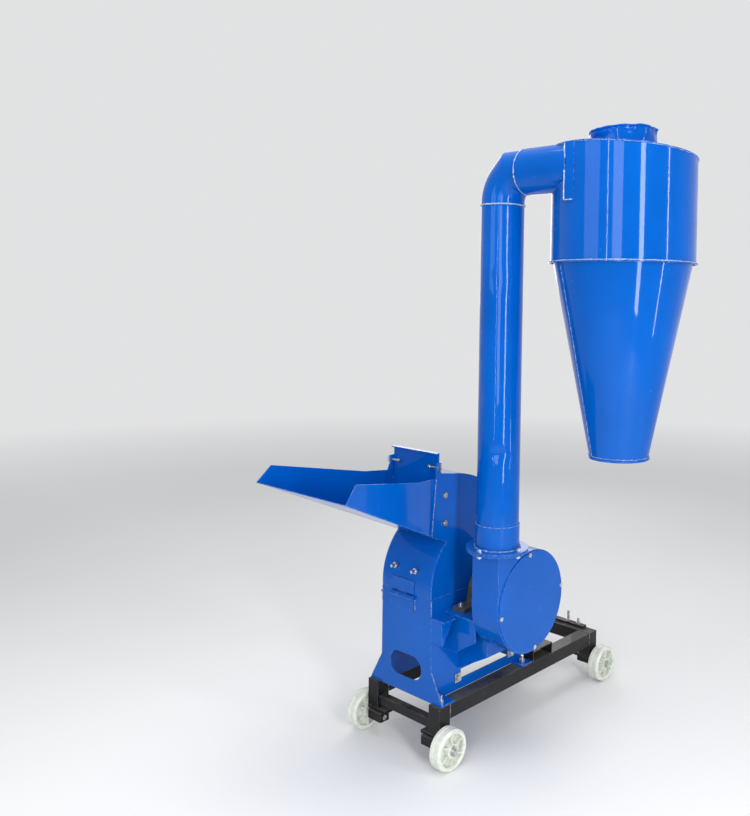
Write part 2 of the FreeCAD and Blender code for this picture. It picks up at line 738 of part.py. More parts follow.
# ---------------------------------------------------------------- bearing supports
def make_bearing_supports():
    bolts = []
    outer_rings = []
    inner_rings = []
    balls = []
    caps = []
    shelf_foot = S.shelf_top - S.shelf_plate
    front = FRONT + S.shelf_front
    rear = ROTOR_Y * 2 - front
    brackets = []
    housings = []
    for name, side in SIDES:
        outside = S.housing_centre + S.housing_width / 2 + 2
        reach = S.fan_back if side > 0 else outside
        x = across(side, SIDE, reach)
        bolt_rows = (ROTOR_Y - S.housing_bolts / 2, ROTOR_Y + S.housing_bolts / 2)
        middle = S.housing_centre * side
        shelf = extrude("z", shelf_foot, S.shelf_top,
                        [(x[0], front), (x[1], front), (x[1], rear), (x[0], rear)], (),
                        [((middle, y), S.bolt_radius + S.running) for y in bolt_rows])
        web_foot = S.shelf_top - 145
        ends = []
        for y in (front + 10, rear - 15):
            ends.append(extrude("y", y, y + 5, [
                (SIDE * side, web_foot), ((SIDE + 56) * side, web_foot),
                (reach * side, S.shelf_top - 85), (reach * side, shelf_foot + 1),
                (SIDE * side, shelf_foot + 1)]))
        brackets.append(fuse(shelf, *ends))
        base = S.housing_base / 2
        foot = S.shelf_top + S.housing_foot
        shoulder = S.housing_radius
        span = across(side, S.housing_centre - S.housing_width / 2,
                      S.housing_centre + S.housing_width / 2)
        housing = extrude("x", span[0], span[1], [
            (ROTOR_Y - base, S.shelf_top), (ROTOR_Y + base, S.shelf_top),
            (ROTOR_Y + base, foot), (ROTOR_Y + shoulder + 8, foot),
            (ROTOR_Y + shoulder, S.parting, shoulder), (ROTOR_Y, S.parting + shoulder,
                                                        shoulder),
            (ROTOR_Y - shoulder, S.parting), (ROTOR_Y - shoulder - 8, foot),
            (ROTOR_Y - base, foot)], (), [((ROTOR_Y, S.parting), S.bearing_radius)])
        pocket(housing, "z", S.shelf_top - 1, foot + 1, (),
               [((middle, y), S.bolt_radius + S.running) for y in bolt_rows])
        housings.append(housing)
        for y in bolt_rows:
            shank = rod((middle, y, shelf_foot - 12), "z", 52, S.bolt_radius)
            bolts.append(fuse(shank, hexagon((middle, y, foot), "z", 10, 12),
                              hexagon((middle, y, shelf_foot - 10), "z", 10, 12)))
        ring_x = middle - S.bearing_width / 2
        race = S.bearing_radius - 8
        outer_rings.append(disc("x", ring_x, ring_x + S.bearing_width, (ROTOR_Y, S.parting),
                                S.bearing_radius, [((ROTOR_Y, S.parting), race)]))
        inner_rings.append(disc("x", ring_x, ring_x + S.bearing_width, (ROTOR_Y, S.parting),
                                S.bearing_inner - 1.2,
                                [((ROTOR_Y, S.parting), S.shaft_radius)]))
        pitch = (race + S.bearing_inner - 1.2) / 2
        size = (race - S.bearing_inner + 1.2) / 2 - 0.1
        for c, s in directions(0, 360, 9)[:-1]:
            ball = doc.addObject("Part::Sphere", "Ball")
            bind(ball, "Radius", size)
            place(ball, (middle, ROTOR_Y + pitch * c, S.parting + pitch * s))
            balls.append(ball)
        for face in (span[0] - S.cap_plate, span[1]):
            caps.append(disc("x", face, face + S.cap_plate, (ROTOR_Y, S.parting),
                             S.cap_radius, [((ROTOR_Y, S.parting), S.shaft_radius + 1)]))
    keep(group(*brackets), "bearing_brackets")
    keep(group(*housings), "bearing_housings")
    keep(group(*outer_rings, *balls), "bearing_races")
    keep(group(*inner_rings), "bearing_inner_rings")
    keep(group(*caps), "bearing_caps")
    return bolts


# ---------------------------------------------------------------- rotor
def make_rotor():
    axis = (0, ROTOR_Y, S.parting)
    left = -(S.pulley_face + S.pulley_width + 20)
    right = S.fan_back + S.fan_width - 20
    r = S.shaft_radius
    keep(lathe([(left, 0), (right, 0), (right, r - 2), (right - 2, r), (left + 2, r),
                (left, r - 2)], "x", axis), "rotor_shaft")
    pins = [(c, s) for c, s in directions(45, 405, 4)[:-1]]
    pin_y = [ROTOR_Y + S.pin_circle * c for c, s in pins]
    pin_z = [S.parting + S.pin_circle * s for c, s in pins]
    discs = []
    for k in range(4):
        middle = S.disc_gap * (k - 1.5)
        holes = [((ROTOR_Y, S.parting), S.shaft_radius)]
        holes += [((y, z), S.pin_radius) for y, z in zip(pin_y, pin_z)]
        discs.append(disc("x", middle - S.disc_plate / 2, middle + S.disc_plate / 2,
                          (ROTOR_Y, S.parting), S.disc_radius, holes))
    keep(group(*discs), "rotor_discs")
    spacers = []
    for k in range(3):
        middle = S.disc_gap * (k - 1)
        length = S.disc_gap - S.disc_plate
        spacers.append(cut(
            rod((middle - length / 2, ROTOR_Y, S.parting), "x", length, S.spacer_radius),
            rod((middle - length / 2 - 1, ROTOR_Y, S.parting), "x", length + 2, r)))
    end = S.disc_gap * 1.5 + S.disc_plate / 2
    nuts = [cut(hexagon((x, ROTOR_Y, S.parting), "x", 12, 32),
                rod((x - 1, ROTOR_Y, S.parting), "x", 14, r)) for x in (-end - 12, end)]
    keep(group(*spacers, *nuts), "disc_spacers")
    keep(group(*[rod((-end - 6, y, z), "x", end * 2 + 12, S.pin_radius)
                 for y, z in zip(pin_y, pin_z)]), "hammer_pins")
    for row, (y, z) in enumerate(zip(pin_y, pin_z), 1):
        offset = S.hammer_offset if row % 2 else S.hammer_offset + 8
        w = S.hammer_width / 2
        hammers = []
        for k in range(3):
            for way in (-1, 1):
                x = S.disc_gap * (k - 1) + offset * way - S.hammer_plate / 2
                hammers.append(extrude("x", x, x + S.hammer_plate, [
                    (y - w, z, -w), (y, z + w, -w), (y + w, z), (y + w, z - S.hammer_reach),
                    (y - w, z - S.hammer_reach)], (),
                    [((y, z), S.pin_radius + S.running)]))
        keep(group(*hammers), f"hammer_row_{row}")
    face = -S.pulley_face
    rim = S.pulley_radius
    profile = [(face - S.pulley_width, r), (face, r), (face, rim)]
    pitch = S.groove_width + 5
    for k in range(3):
        middle = face - S.pulley_width / 2 + pitch * (1 - k)
        profile += [(middle + S.groove_width / 2, rim), (middle + 4, rim - S.groove_depth),
                    (middle - 4, rim - S.groove_depth), (middle - S.groove_width / 2, rim)]
    profile.append((face - S.pulley_width, rim))
    keep(lathe(profile, "x", axis), "drive_pulley")
    hub_low = S.fan_back + S.fan_width - 30 - S.blade_width
    hub_high = hub_low + S.blade_width
    hub = rod((hub_low, ROTOR_Y, S.parting), "x", S.blade_width + S.blade_plate, S.hub_radius)
    disc_back = rod((hub_high, ROTOR_Y, S.parting), "x", S.blade_plate, S.impeller_radius)
    blades = []
    for k in range(6):
        blade = box((hub_low, ROTOR_Y - S.blade_plate / 2, S.parting),
                    (hub_high + 1, ROTOR_Y + S.blade_plate / 2, S.parting + S.impeller_radius))
        base = FreeCAD.Vector(0, ROTOR_Y.number, S.parting.number)
        turn = FreeCAD.Rotation(AXES["x"], 60 * k)
        blades.append(turned_blade(blade, base, turn))
    impeller = cut(fuse(hub, disc_back, *blades),
                   rod((hub_low - 1, ROTOR_Y, S.parting), "x", S.blade_width + 9, r))
    keep(impeller, "fan_impeller")


def turned_blade(blade, base, turn):
    """A blade turned about the shaft; its corner is worked out from the same sizes."""
    angle = turn.Angle * (1 if turn.Axis.x >= 0 else -1)
    c = math.cos(angle)
    s = math.sin(angle)
    half = S.blade_plate / 2
    hub_low = S.fan_back + S.fan_width - 30 - S.blade_width
    place(blade, (hub_low, ROTOR_Y - half * c, S.parting - half * s), turn)
    return blade


# ---------------------------------------------------------------- upper cover and feed
def cover_side_corners():
    notch = S.notch_radius
    return [
        (FRONT, SPLIT, -S.cover_front_radius), (FRONT + S.cover_lip_back, S.cover_lip),
        (FRONT - 3, S.joint_foot), (FRONT + S.joint_lean, S.joint_head),
        (FRONT + S.crown_back, S.crown), (FRONT + S.top_back, S.top, -S.back_radius),
        (REAR, SPLIT), (ROTOR_Y + notch, SPLIT, notch), (ROTOR_Y, SPLIT + notch, notch),
        (ROTOR_Y - notch, SPLIT)]


def tray_bolt_places():
    y = FRONT + S.tray_bolt_setback
    return [(y, S.tray_bolt_top), (y, S.tray_bolt_foot)]


def make_cover():
    panels = []
    for name, side in SIDES:
        x = across(side, SIDE_IN, SIDE)
        panel = extrude("x", x[0], x[1], cover_side_corners())
        pocket(panel, "x", x[0] - 1, x[1] + 1, (),
               [(at, S.bolt_radius + S.running) for at in tray_bolt_places()])
        panels.append(panel)
    keep(group(*panels), "cover_sides")
    t = S.plate
    front = extrude("x", -SIDE_IN, SIDE_IN, [
        (FRONT, SPLIT, -S.cover_front_radius), (FRONT + S.cover_lip_back, S.cover_lip),
        (FRONT + S.cover_lip_back + t, S.cover_lip - t, S.cover_front_radius - t),
        (FRONT + t, SPLIT)])
    pocket(front, "y", FRONT - 5, FRONT + 60, (),
           [((x, S.cover_stud_height), S.bolt_radius + S.running) for x in COVER_STUDS])
    keep(front, "cover_front")
    slope = (S.crown - S.top) / (S.top_back - S.crown_back)
    mouth = S.gate_setback + S.gate_sheet + 5
    brow = S.crown - (mouth - S.crown_back) * slope
    top = extrude("x", -SIDE_IN, SIDE_IN, [
        (FRONT + mouth, brow), (FRONT + S.top_back, S.top, -S.back_radius), (REAR, SPLIT),
        (REAR - t, SPLIT, S.back_radius - t), (FRONT + S.top_back - 1, S.top - t),
        (FRONT + mouth, brow - t)])
    keep(top, "cover_back")
    liner = extrude("x", -SIDE_IN, SIDE_IN, ring_sector(
        ROTOR_Y, S.parting, S.liner_radius + S.liner_plate, S.liner_plate,
        directions(3, 78, 3)))
    keep(liner, "cover_liner")
    studs = []
    for x in COVER_STUDS:
        head = FRONT + 5.5
        z = S.cover_stud_height
        studs.append(fuse(rod((x, head - 26, z), "y", 60, S.bolt_radius),
                          hexagon((x, head - 9, z), "y", 9, 12),
                          hexagon((x, head + 20, z), "y", 9, 12)))
    return studs


def floor_height(y):
    """Height of the underside of the tray floor at a distance along the machine."""
    fall = (S.tray_front - S.joint_foot) / (S.tray_reach - 3)
    return S.tray_front - (y - FRONT + S.tray_reach) * fall


def make_tray(studs):
    tip = FRONT - S.tray_reach
    lap = FRONT + S.lap_depth
    inner = FRONT + S.cover_lip_back - 2
    wide = S.tray_width / 2
    t = S.tray_sheet
    throat = SIDE_IN - S.gap
    floor = extrude("x", -wide, wide, [
        (tip, floor_height(tip)), (inner, floor_height(inner)),
        (inner, floor_height(inner) + t), (tip, floor_height(tip) + t)])
    plan = extrude("z", S.cover_lip - 60, S.tray_crest + 10, [
        (-wide, tip), (wide, tip), (throat, FRONT - 3), (throat, inner), (-throat, inner),
        (-throat, FRONT - 3)])
    keep(common(floor, plan), "tray_floor")
    profile = [
        (tip, floor_height(tip) + t), (FRONT - 4, floor_height(FRONT - 4) + t),
        (lap - 30, S.joint_foot + 20), (lap, S.joint_foot + 30),
        (lap, S.joint_head - 26), (FRONT + S.joint_lean, S.joint_head - 2),
        (FRONT - S.tray_bend, S.joint_head + 4), (tip + S.tray_chamfer, S.tray_crest)]
    walls = []
    for name, side in SIDES:
        slab = extrude("x", *across(side, S.gap, wide + 1), profile)
        strip = extrude("z", S.cover_lip - 60, S.tray_crest + 10, [
            (wide * side, tip), (throat * side, FRONT - 3), (throat * side, lap),
            ((throat - t) * side, lap), ((throat - t) * side, FRONT - 3),
            ((wide - t) * side, tip)])
        drills = [rod((throat * side - 15, y, z), "x", 30, S.bolt_radius + S.running)
                  for y, z in tray_bolt_places()]
        walls.append(cut(common(slab, strip), *drills))
    keep(group(*walls), "tray_walls")
    bolts = []
    for y, z in tray_bolt_places():
        for name, side in SIDES:
            shank = across(side, throat - t - 14, SIDE + 12)
            head = across(side, SIDE, SIDE + 8)
            nut = across(side, throat - t - 9, throat - t)
            bolts.append(fuse(
                rod((shank[0], y, z), "x", shank[1] - shank[0], S.bolt_radius),
                hexagon((head[0], y, z), "x", 8, 12),
                hexagon((nut[0], y, z), "x", 9, 9.6)))
    keep(group(*studs, *bolts), "cover_fasteners")


def make_gate():
    face = FRONT + S.gate_setback
    half = S.gate_width / 2
    foot = S.gate_top - S.gate_height
    plate = box((-half, face, foot), (half, face + S.gate_sheet, S.gate_top))
    lip = box((-half, face - S.gate_lip, S.gate_top - S.gate_sheet),
              (half, face + 1, S.gate_top))
    keep(fuse(plate, lip), "feed_gate")
    wall = SIDE_IN - S.gap - S.tray_sheet
    strips = []
    for name, side in SIDES:
        x = across(side, half - 6, wall)
        for y in (face - 6 - S.gap, face + S.gate_sheet + S.gap):
            strips.append(box((x[0], y, S.joint_foot + 40), (x[1], y + 6, S.joint_head - 30)))
    lug_low = half + 1.4
    screw_y = face - 9
    for name, side in SIDES:
        x = across(side, lug_low, SIDE_IN)
        lug = box((x[0], face - 17, S.joint_head + 1),
                  (x[1], face + 8, S.joint_head + S.ear_height))
        drill = rod((x[0] - 5, screw_y, S.clamp_height), "x", 20, S.clamp_radius + S.running)
        strips.append(cut(lug, drill))
        reach = across(side, half - 44, SIDE + 12)
        wing = across(side, SIDE_IN + S.gap, SIDE + 8)
        bar = across(side, half - 42, half - 34)
        keep(fuse(
            rod((reach[0], screw_y, S.clamp_height), "x", reach[1] - reach[0],
                S.clamp_radius),
            box((wing[0], screw_y - 3, S.clamp_height - 13),
                (wing[1], screw_y + 3, S.clamp_height + 13)),
            rod((bar[0], screw_y, S.clamp_height), "x", 8, 7)), f"gate_screw_{name}")
    keep(group(*strips), "gate_guides")


def make_hinge():
    left = S.hinge_left
    right = S.hinge_left + S.hinge_length
    third = S.hinge_length / 3
    y = HINGE_Y
    z = HINGE_Z
    r = S.barrel_radius
    back = FRONT
    leaf = FRONT - S.leaf_plate
    hole = rod((left - 1, y, z), "x", S.hinge_length + 2, S.hinge_pin_radius + S.running)
    lower = [box((left, leaf, z - S.leaf_height), (right, back, z - r - S.gap))]
    for x in (left, right - third + S.gap):
        lower.append(rod((x, y, z), "x", third - S.gap, r))
        lower.append(box((x, leaf, z - r - 2), (x + third - S.gap, back, z)))
    hole_up = rod((left - 1, y, z), "x", S.hinge_length + 2, S.hinge_pin_radius + S.running)
    x = left + third
    base = S.parting + S.gap
    lean = 0.8
    upper = [box((left, leaf - lean, base), (right, back - lean, z + S.leaf_height + 10)),
             rod((x, y, z), "x", third, r),
             box((x, leaf, z), (x + third, back - S.gap, base + 2))]
    keep(cut(fuse(*upper), hole_up), "hinge_leaf_upper")
    pin = rod((left - 3, y, z), "x", S.hinge_length + 6, S.hinge_pin_radius)
    keep(group(cut(fuse(*lower), hole), pin), "hinge_leaf_lower")


# ---------------------------------------------------------------- fan
def scroll_corners(radius, top, mouth_rear):
    """Fan housing outline: a straight front wall that runs tangent into the round casing."""
    rise = root(radius * radius - (ROTOR_Y - mouth_rear) * (ROTOR_Y - mouth_rear))
    return [
        (ROTOR_Y - radius, top), (ROTOR_Y - radius, S.parting, radius),
        (ROTOR_Y, S.parting - radius, radius), (ROTOR_Y + radius, S.parting, radius),
        (ROTOR_Y, S.parting + radius, radius), (mouth_rear, S.parting + rise),
        (mouth_rear, top)]


def make_fan():
    back = S.fan_back
    front = S.fan_back + S.fan_width
    t = S.fan_sheet
    mouth_rear = FRONT + S.fan_mouth_rear
    housing = extrude("x", back, front, scroll_corners(S.fan_radius, S.fan_mouth_top,
                                                       mouth_rear))
    pocket(housing, "x", back + t, front - t,
           scroll_corners(S.fan_radius - t, S.fan_mouth_top + 1, mouth_rear - t))
    screws = [(ROTOR_Y + (S.cover_radius - 7) * c, S.parting + (S.cover_radius - 7) * s)
              for c, s in directions(6, 366, 4)[:-1]]
    pocket(housing, "x", front - t - 1, front + 1, (), [((ROTOR_Y, S.parting),
                                                         S.fan_opening)])
    pocket(housing, "x", front - t - 1, front + 1, (),
           [(at, S.screw_radius + S.running) for at in screws])
    pocket(housing, "x", back - 1, back + t + 1, (), [((ROTOR_Y, S.parting),
                                                       S.shaft_radius + 2)])
    pocket(housing, "x", back - 1, back + t + 1, fan_port_corners())
    keep(housing, "fan_housing")
    keep(disc("x", front, front + t, (ROTOR_Y, S.parting), S.cover_radius,
              [(at, S.screw_radius + S.running) for at in screws]), "fan_cover")
    pieces = []
    for y, z in screws:
        pieces.append(fuse(rod((front - t - 8, y, z), "x", t * 2 + 8, S.screw_radius),
                           rod((front + t, y, z), "x", 4, 8),
                           hexagon((front - t - 6, y, z), "x", 6, 7.5)))
    return pieces


def flange_bolt_places():
    return [(S.riser_x + S.bolt_circle * c, RISER_Y + S.bolt_circle * s)
            for c, s in ((1, 0), (0, 1), (-1, 0), (0, -1))]


def make_riser(screws):
    centre = (S.riser_x, RISER_Y)
    foot = S.fan_mouth_top
    t = S.flange_plate
    holes = [(at, S.bolt_radius - 1 + S.running) for at in flange_bolt_places()]
    lower = disc("z", foot, foot + t, centre, S.flange_radius, holes + [(centre, 58)])
    level = foot + t
    keep(disc("z", level, level + S.gasket, centre, S.flange_radius - 1.5,
              holes + [(centre, 58)]), "flange_gasket")
    level = level + S.gasket
    r = S.riser_radius
    sleeve = r + 0.3
    collar = disc("z", level, level + t, centre, S.flange_radius, holes + [(centre, 58)])
    tube = cut(rod((*centre, level + t), "z", S.sleeve_top - level - t, sleeve + 2.5),
               rod((*centre, level + t - 1), "z", S.sleeve_top - level - t + 2, sleeve))
    keep(group(lower, fuse(collar, tube)), "pipe_flanges")
    keep(lathe([(r - S.riser_sheet, level + t), (r, level + t), (r, S.riser_top),
                (r - S.riser_sheet, S.riser_top)], "z", (*centre, 0)), "riser_pipe")
    grip = t * 2 + S.gasket
    bolts = []
    for x, y in flange_bolt_places():
        bolts.append(fuse(rod((x, y, foot - 12), "z", grip + 20, S.bolt_radius - 1),
                          hexagon((x, y, foot + grip), "z", 7, 10),
                          hexagon((x, y, foot - 8), "z", 8, 10)))
    keep(group(*screws, *bolts), "fan_fasteners")


def make_elbow():
    """Bent pipe from the riser to the cyclone's inlet duct, with one mitred corner."""
    body = doc.addObject("PartDesign::Body", "Body")
    ring = sketch_on(body, "z", S.riser_top)
    circle(ring, (S.riser_x, RISER_Y), S.riser_radius)
    circle(ring, (S.riser_x, RISER_Y), S.riser_radius - S.riser_sheet)
    path = sketch_on(body, "y", RISER_Y)
    bend = S.riser_radius * S.elbow_bend
    diagonal = math.sqrt(0.5)
    drop = bend * diagonal
    lean = bend * (1 - diagonal)
    rest = ELBOW_Z - S.riser_top - drop - 12
    points = [(S.riser_x, S.riser_top), (S.riser_x, S.riser_top + 12),
              (S.riser_x + lean, S.riser_top + 12 + drop),
              (S.riser_x + lean + rest, ELBOW_Z), (S.elbow_end, ELBOW_Z)]
    route(path, points, 1, bend)
    pipe = body.newObject("PartDesign::AdditivePipe", "Pipe")
    pipe.Profile = ring
    pipe.Spine = (path, [])
    pipe.Transition = "Right corner"
    keep(body, "elbow")


def route(sketch, points, arc_at, radius):
    """Open path through points; the piece after point arc_at is an arc."""
    rows = [[Dim.of(v) for v in point] for point in points]
    spots = [FreeCAD.Vector(p[0].number, p[1].number, 0) for p in rows]
    ends = []
    for i in range(len(rows) - 1):
        a = spots[i]
        b = spots[i + 1]
        if i == arc_at:
            ends.append(add_arc(sketch, a, b, -radius.number))
        else:
            sketch.addGeometry(Part.LineSegment(a, b))
            ends.append((1, 2))
    for i in range(len(ends) - 1):
        where = (i, ends[i][1], i + 1, ends[i + 1][0])
        sketch.addConstraint(Sketcher.Constraint("Coincident", *where))
    for i, end in enumerate(ends):
        pin_point(sketch, i, end[0], rows[i])
    pin_point(sketch, len(ends) - 1, ends[-1][1], rows[-1])
    tie(sketch, "Radius", (arc_at,), radius)


# ---------------------------------------------------------------- cyclone
def lean(obj):
    """Turn a piece as the lid leans: down, away from the corner where the duct comes in."""
    way = math.radians(S.lid_lean_way.number)
    hinge = FreeCAD.Vector(-math.sin(way), math.cos(way), 0)
    turn = FreeCAD.Rotation(hinge, S.lid_lean.number)
    obj.Placement = FreeCAD.Placement(obj.Placement.Base, turn)


def above_lid(drop=0):
    """Everything that the leaning lid cuts off, from a little lower down if drop is given."""
    waste = rod((S.cyclone_x, CYCLONE_Y, S.lid_top - drop), "z", 150, S.cyclone_radius + 50)
    lean(waste)
    return waste


def make_cyclone():
    at = (S.cyclone_x, CYCLONE_Y, 0)
    r = S.cyclone_radius
    t = S.cyclone_sheet
    wall = CYCLONE_Y - r
    end = S.inlet_end
    run = end - S.elbow_end
    duct = (S.elbow_end, RISER_Y, ELBOW_Z)
    outer = S.riser_radius + S.duct_step
    tab_end = S.cyclone_x - S.inlet_tab
    bore = rod(duct, "x", tab_end - S.elbow_end - 4, outer - t)
    shell = lathe([(r - t, S.seam), (r, S.seam), (r, S.lid_top + 40), (r - t, S.lid_top + 40)],
                  "z", at)
    keep(cut(shell, bore, above_lid()), "cyclone_cylinder")
    corner = (tab_end, wall + 40, S.lid_top + 40)
    hollow = cut(box((end - 10 + t, wall + t, S.inlet_foot + t),
                     (corner[0] + 1, corner[1] + 1, corner[2] + 1)), above_lid(t))
    wedge = cut(box((end - 10, wall, S.inlet_foot), corner), hollow,
                rod((end - 11, RISER_Y, ELBOW_Z), "x", t + 2, outer - t))
    pipe = cut(rod(duct, "x", run - 10 + t, outer), bore)
    round_wall = rod((*at[:2], S.seam), "z", S.lid_top - S.seam + 50, r)
    rim_gap = rod((*at[:2], S.lid_top), "z", 60, r + S.lid_rim + S.gap)
    lean(rim_gap)
    keep(cut(fuse(pipe, cut(wedge, above_lid())), round_wall, rim_gap), "inlet_duct")
    lid = rod((*at[:2], S.lid_top), "z", t, r + S.lid_rim)
    lean(lid)
    keep(cut(lid, rod((*at[:2], S.lid_top - 10), "z", 20 + t, S.collar_radius + 0.4)),
         "cyclone_lid")
    lip = S.ring_lip
    seam = lathe([(r - t, S.seam - 5), (r + lip, S.seam - 5), (r + lip, S.seam - 1),
                  (r + 1, S.seam), (r - t, S.seam)], "z", at)
    low = S.outlet_radius
    high = S.cone_radius
    keep(lathe([(low - t, S.outlet_foot), (low, S.outlet_foot), (high, S.seam - 5),
                (high - t, S.seam - 5)], "z", at), "cyclone_cone")
    foot = S.outlet_foot
    outlet = lathe([(low - t, foot - S.outlet_ring), (low + 3, foot - S.outlet_ring),
                    (low + 5, foot - S.outlet_ring + 4), (low + 2, foot - 5),
                    (low + 3, foot), (low - t, foot)], "z", at)
    keep(group(seam, outlet), "cyclone_rings")
    c = S.collar_radius
    top = S.collar_top
    keep(lathe([(c - t, S.finder_foot), (c, S.finder_foot), (c, top - 4), (c + 3, top - 2),
                (c + 2, top), (c - t, top - 1)], "z", at), "exhaust_tube")


# ---------------------------------------------------------------- assembly and output
def make_all():
    make_chassis()
    for end, y in (("front", FRONT), ("rear", S.wheel_base / 2)):
        for name, side in SIDES:
            make_wheel(f"wheel_{end}_{name}", side, y)
    foot_bolts = make_lower_casing()
    clamps = make_discharge(make_screen())
    bearing_bolts = make_bearing_supports()
    keep(group(*foot_bolts, *clamps, *bearing_bolts), "casing_fasteners")
    make_rotor()
    make_tray(make_cover())
    make_gate()
    make_hinge()
    make_riser(make_fan())
    make_elbow()
    make_cyclone()


def check_all():
    """Stop on any failed object or bad shape before a file is written."""
    doc.recompute()
    for obj in doc.Objects:
        if "Invalid" in obj.State or "Error" in obj.State:
            raise RuntimeError(f"{obj.Label} ({obj.Name}) failed: {obj.State}")
    for label, obj in PARTS.items():
        shape = obj.Shape
        if shape.isNull() or not shape.isValid() or not shape.Solids:
            raise RuntimeError(f"{label} has no valid shape")


make_all()
check_all()
os.makedirs("parts", exist_ok=True)
for label, obj in PARTS.items():
    obj.Shape.exportStep(f"parts/{label}.step")
print(len(PARTS), "nodes,", sum(len(obj.Shape.Solids) for obj in PARTS.values()), "solids")
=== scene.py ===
"""Hammer mill with suction fan and cyclone: finishes, weld beads, light and camera."""
import json
import math

import bpy
from mathutils import Matrix, Vector, noise


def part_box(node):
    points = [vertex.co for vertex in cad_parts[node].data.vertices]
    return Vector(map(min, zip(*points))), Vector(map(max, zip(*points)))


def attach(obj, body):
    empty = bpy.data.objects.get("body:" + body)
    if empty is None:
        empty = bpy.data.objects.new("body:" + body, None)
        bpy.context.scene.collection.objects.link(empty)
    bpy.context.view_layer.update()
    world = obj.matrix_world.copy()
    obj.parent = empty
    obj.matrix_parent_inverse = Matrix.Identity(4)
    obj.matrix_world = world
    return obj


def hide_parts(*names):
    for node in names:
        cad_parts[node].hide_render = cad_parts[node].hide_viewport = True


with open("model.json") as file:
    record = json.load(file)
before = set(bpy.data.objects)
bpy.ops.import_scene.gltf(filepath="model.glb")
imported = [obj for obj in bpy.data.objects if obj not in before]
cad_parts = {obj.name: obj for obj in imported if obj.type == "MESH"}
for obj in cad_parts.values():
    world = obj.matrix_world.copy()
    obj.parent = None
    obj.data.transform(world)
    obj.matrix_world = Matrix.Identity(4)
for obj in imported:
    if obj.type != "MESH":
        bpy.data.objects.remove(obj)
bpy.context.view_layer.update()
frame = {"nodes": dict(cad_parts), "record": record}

# ---------------------------------------------------------------- places, from the frame
FLOOR = 0.0
CASING_LOW, CASING_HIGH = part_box("casing_front")
SIDE_LOW, SIDE_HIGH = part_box("casing_side_right")
PIPE_LOW, PIPE_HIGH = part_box("riser_pipe")
CYLINDER_LOW, CYLINDER_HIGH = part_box("cyclone_cylinder")
CONE_LOW, CONE_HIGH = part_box("cyclone_cone")
TUBE_LOW, TUBE_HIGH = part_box("exhaust_tube")
LID_LOW, LID_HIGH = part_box("cyclone_lid")
DUCT_LOW, DUCT_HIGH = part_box("inlet_duct")
COVER_LOW, COVER_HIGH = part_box("cover_sides")
SLEEVE_LOW, SLEEVE_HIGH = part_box("pipe_flanges")
POST_LOW, POST_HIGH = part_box("chassis_members")
RAIL_LOW, RAIL_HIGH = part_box("side_rails")
LUG_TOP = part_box("casing_lugs")[1].z
LEAF_LOW, LEAF_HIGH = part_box("hinge_leaf_lower")
TRAY_FOOT = 0.835
TRAY_HEAD = 1.043
TRAY_JOINT_LEAN = 0.019
CASING_KINK = 0.325
COVER_BACK_RADIUS = 0.457
POST_WIDTH = 0.056
FLANGE_STACK = 0.0155
SLEEVE_SHEET = 0.0055
TAB_WIDTH = 0.034

PIPE_AXIS = (PIPE_LOW + PIPE_HIGH) / 2
PIPE_RADIUS = (PIPE_HIGH.x - PIPE_LOW.x) / 2
CONE_AXIS = (CONE_LOW + CONE_HIGH) / 2
CONE_TOP_RADIUS = (CONE_HIGH.x - CONE_LOW.x) / 2
CONE_FOOT_RADIUS = 0.1035
DUCT_RADIUS = 0.082
DUCT_LEVEL = DUCT_HIGH.z - DUCT_RADIUS
INLET_CORNER_X = 0.676
LID_LEAN = math.radians(4.9)
LID_WAY = math.radians(58)
LID_UP = Vector((math.sin(LID_LEAN) * math.cos(LID_WAY),
                 math.sin(LID_LEAN) * math.sin(LID_WAY), math.cos(LID_LEAN)))
LID_MIDDLE = Vector(((LID_LOW.x + LID_HIGH.x) / 2, (LID_LOW.y + LID_HIGH.y) / 2,
                     (LID_LOW.z + LID_HIGH.z) / 2))
TUBE_SHEET = 0.0025
FLARE_WAY = math.radians(222)


# ---------------------------------------------------------------- materials
def add(tree, kind, values=(), **settings):
    """A shader node. A value that is a socket is linked; any other is set on the socket."""
    made = tree.nodes.new(kind)
    for key, value in settings.items():
        setattr(made, key, value)
    for socket, value in values:
        if isinstance(value, bpy.types.NodeSocket):
            tree.links.new(value, made.inputs[socket])
        else:
            made.inputs[socket].default_value = value
    return made


def start(name):
    made = bpy.data.materials.new(name)
    made.use_nodes = True
    tree = made.node_tree
    shader = tree.nodes["Principled BSDF"]
    place = add(tree, "ShaderNodeTexCoord").outputs["Object"]
    return made, tree, shader, place


def cloud(tree, place, scale, detail=3.0, rough=0.55, stretch=(1, 1, 1)):
    """Noise over the surface, as a socket from 0 to 1."""
    if stretch != (1, 1, 1):
        place = add(tree, "ShaderNodeMapping", [("Vector", place), ("Scale", stretch)]).outputs[0]
    return add(tree, "ShaderNodeTexNoise", [
        ("Vector", place), ("Scale", scale), ("Detail", detail),
        ("Roughness", rough)]).outputs["Fac"]


def ramp(tree, value, low, high, to_low=0.0, to_high=1.0):
    return add(tree, "ShaderNodeMapRange", [
        ("Value", value), ("From Min", low), ("From Max", high), ("To Min", to_low),
        ("To Max", to_high)], clamp=True).outputs[0]


def mix(tree, factor, a, b):
    return add(tree, "ShaderNodeMix", [(0, factor), (6, a), (7, b)],
               data_type="RGBA").outputs[2]


def math_node(tree, operation, a, b):
    return add(tree, "ShaderNodeMath", [(0, a), (1, b)], operation=operation).outputs[0]


def edges(tree, radius, low, high):
    """Near 1 along sharp edges."""
    normal = add(tree, "ShaderNodeNewGeometry").outputs["Normal"]
    soft = add(tree, "ShaderNodeBevel", [("Radius", radius)], samples=4).outputs[0]
    same = add(tree, "ShaderNodeVectorMath", [(0, normal), (1, soft)],
               operation="DOT_PRODUCT").outputs["Value"]
    return ramp(tree, same, high, low)


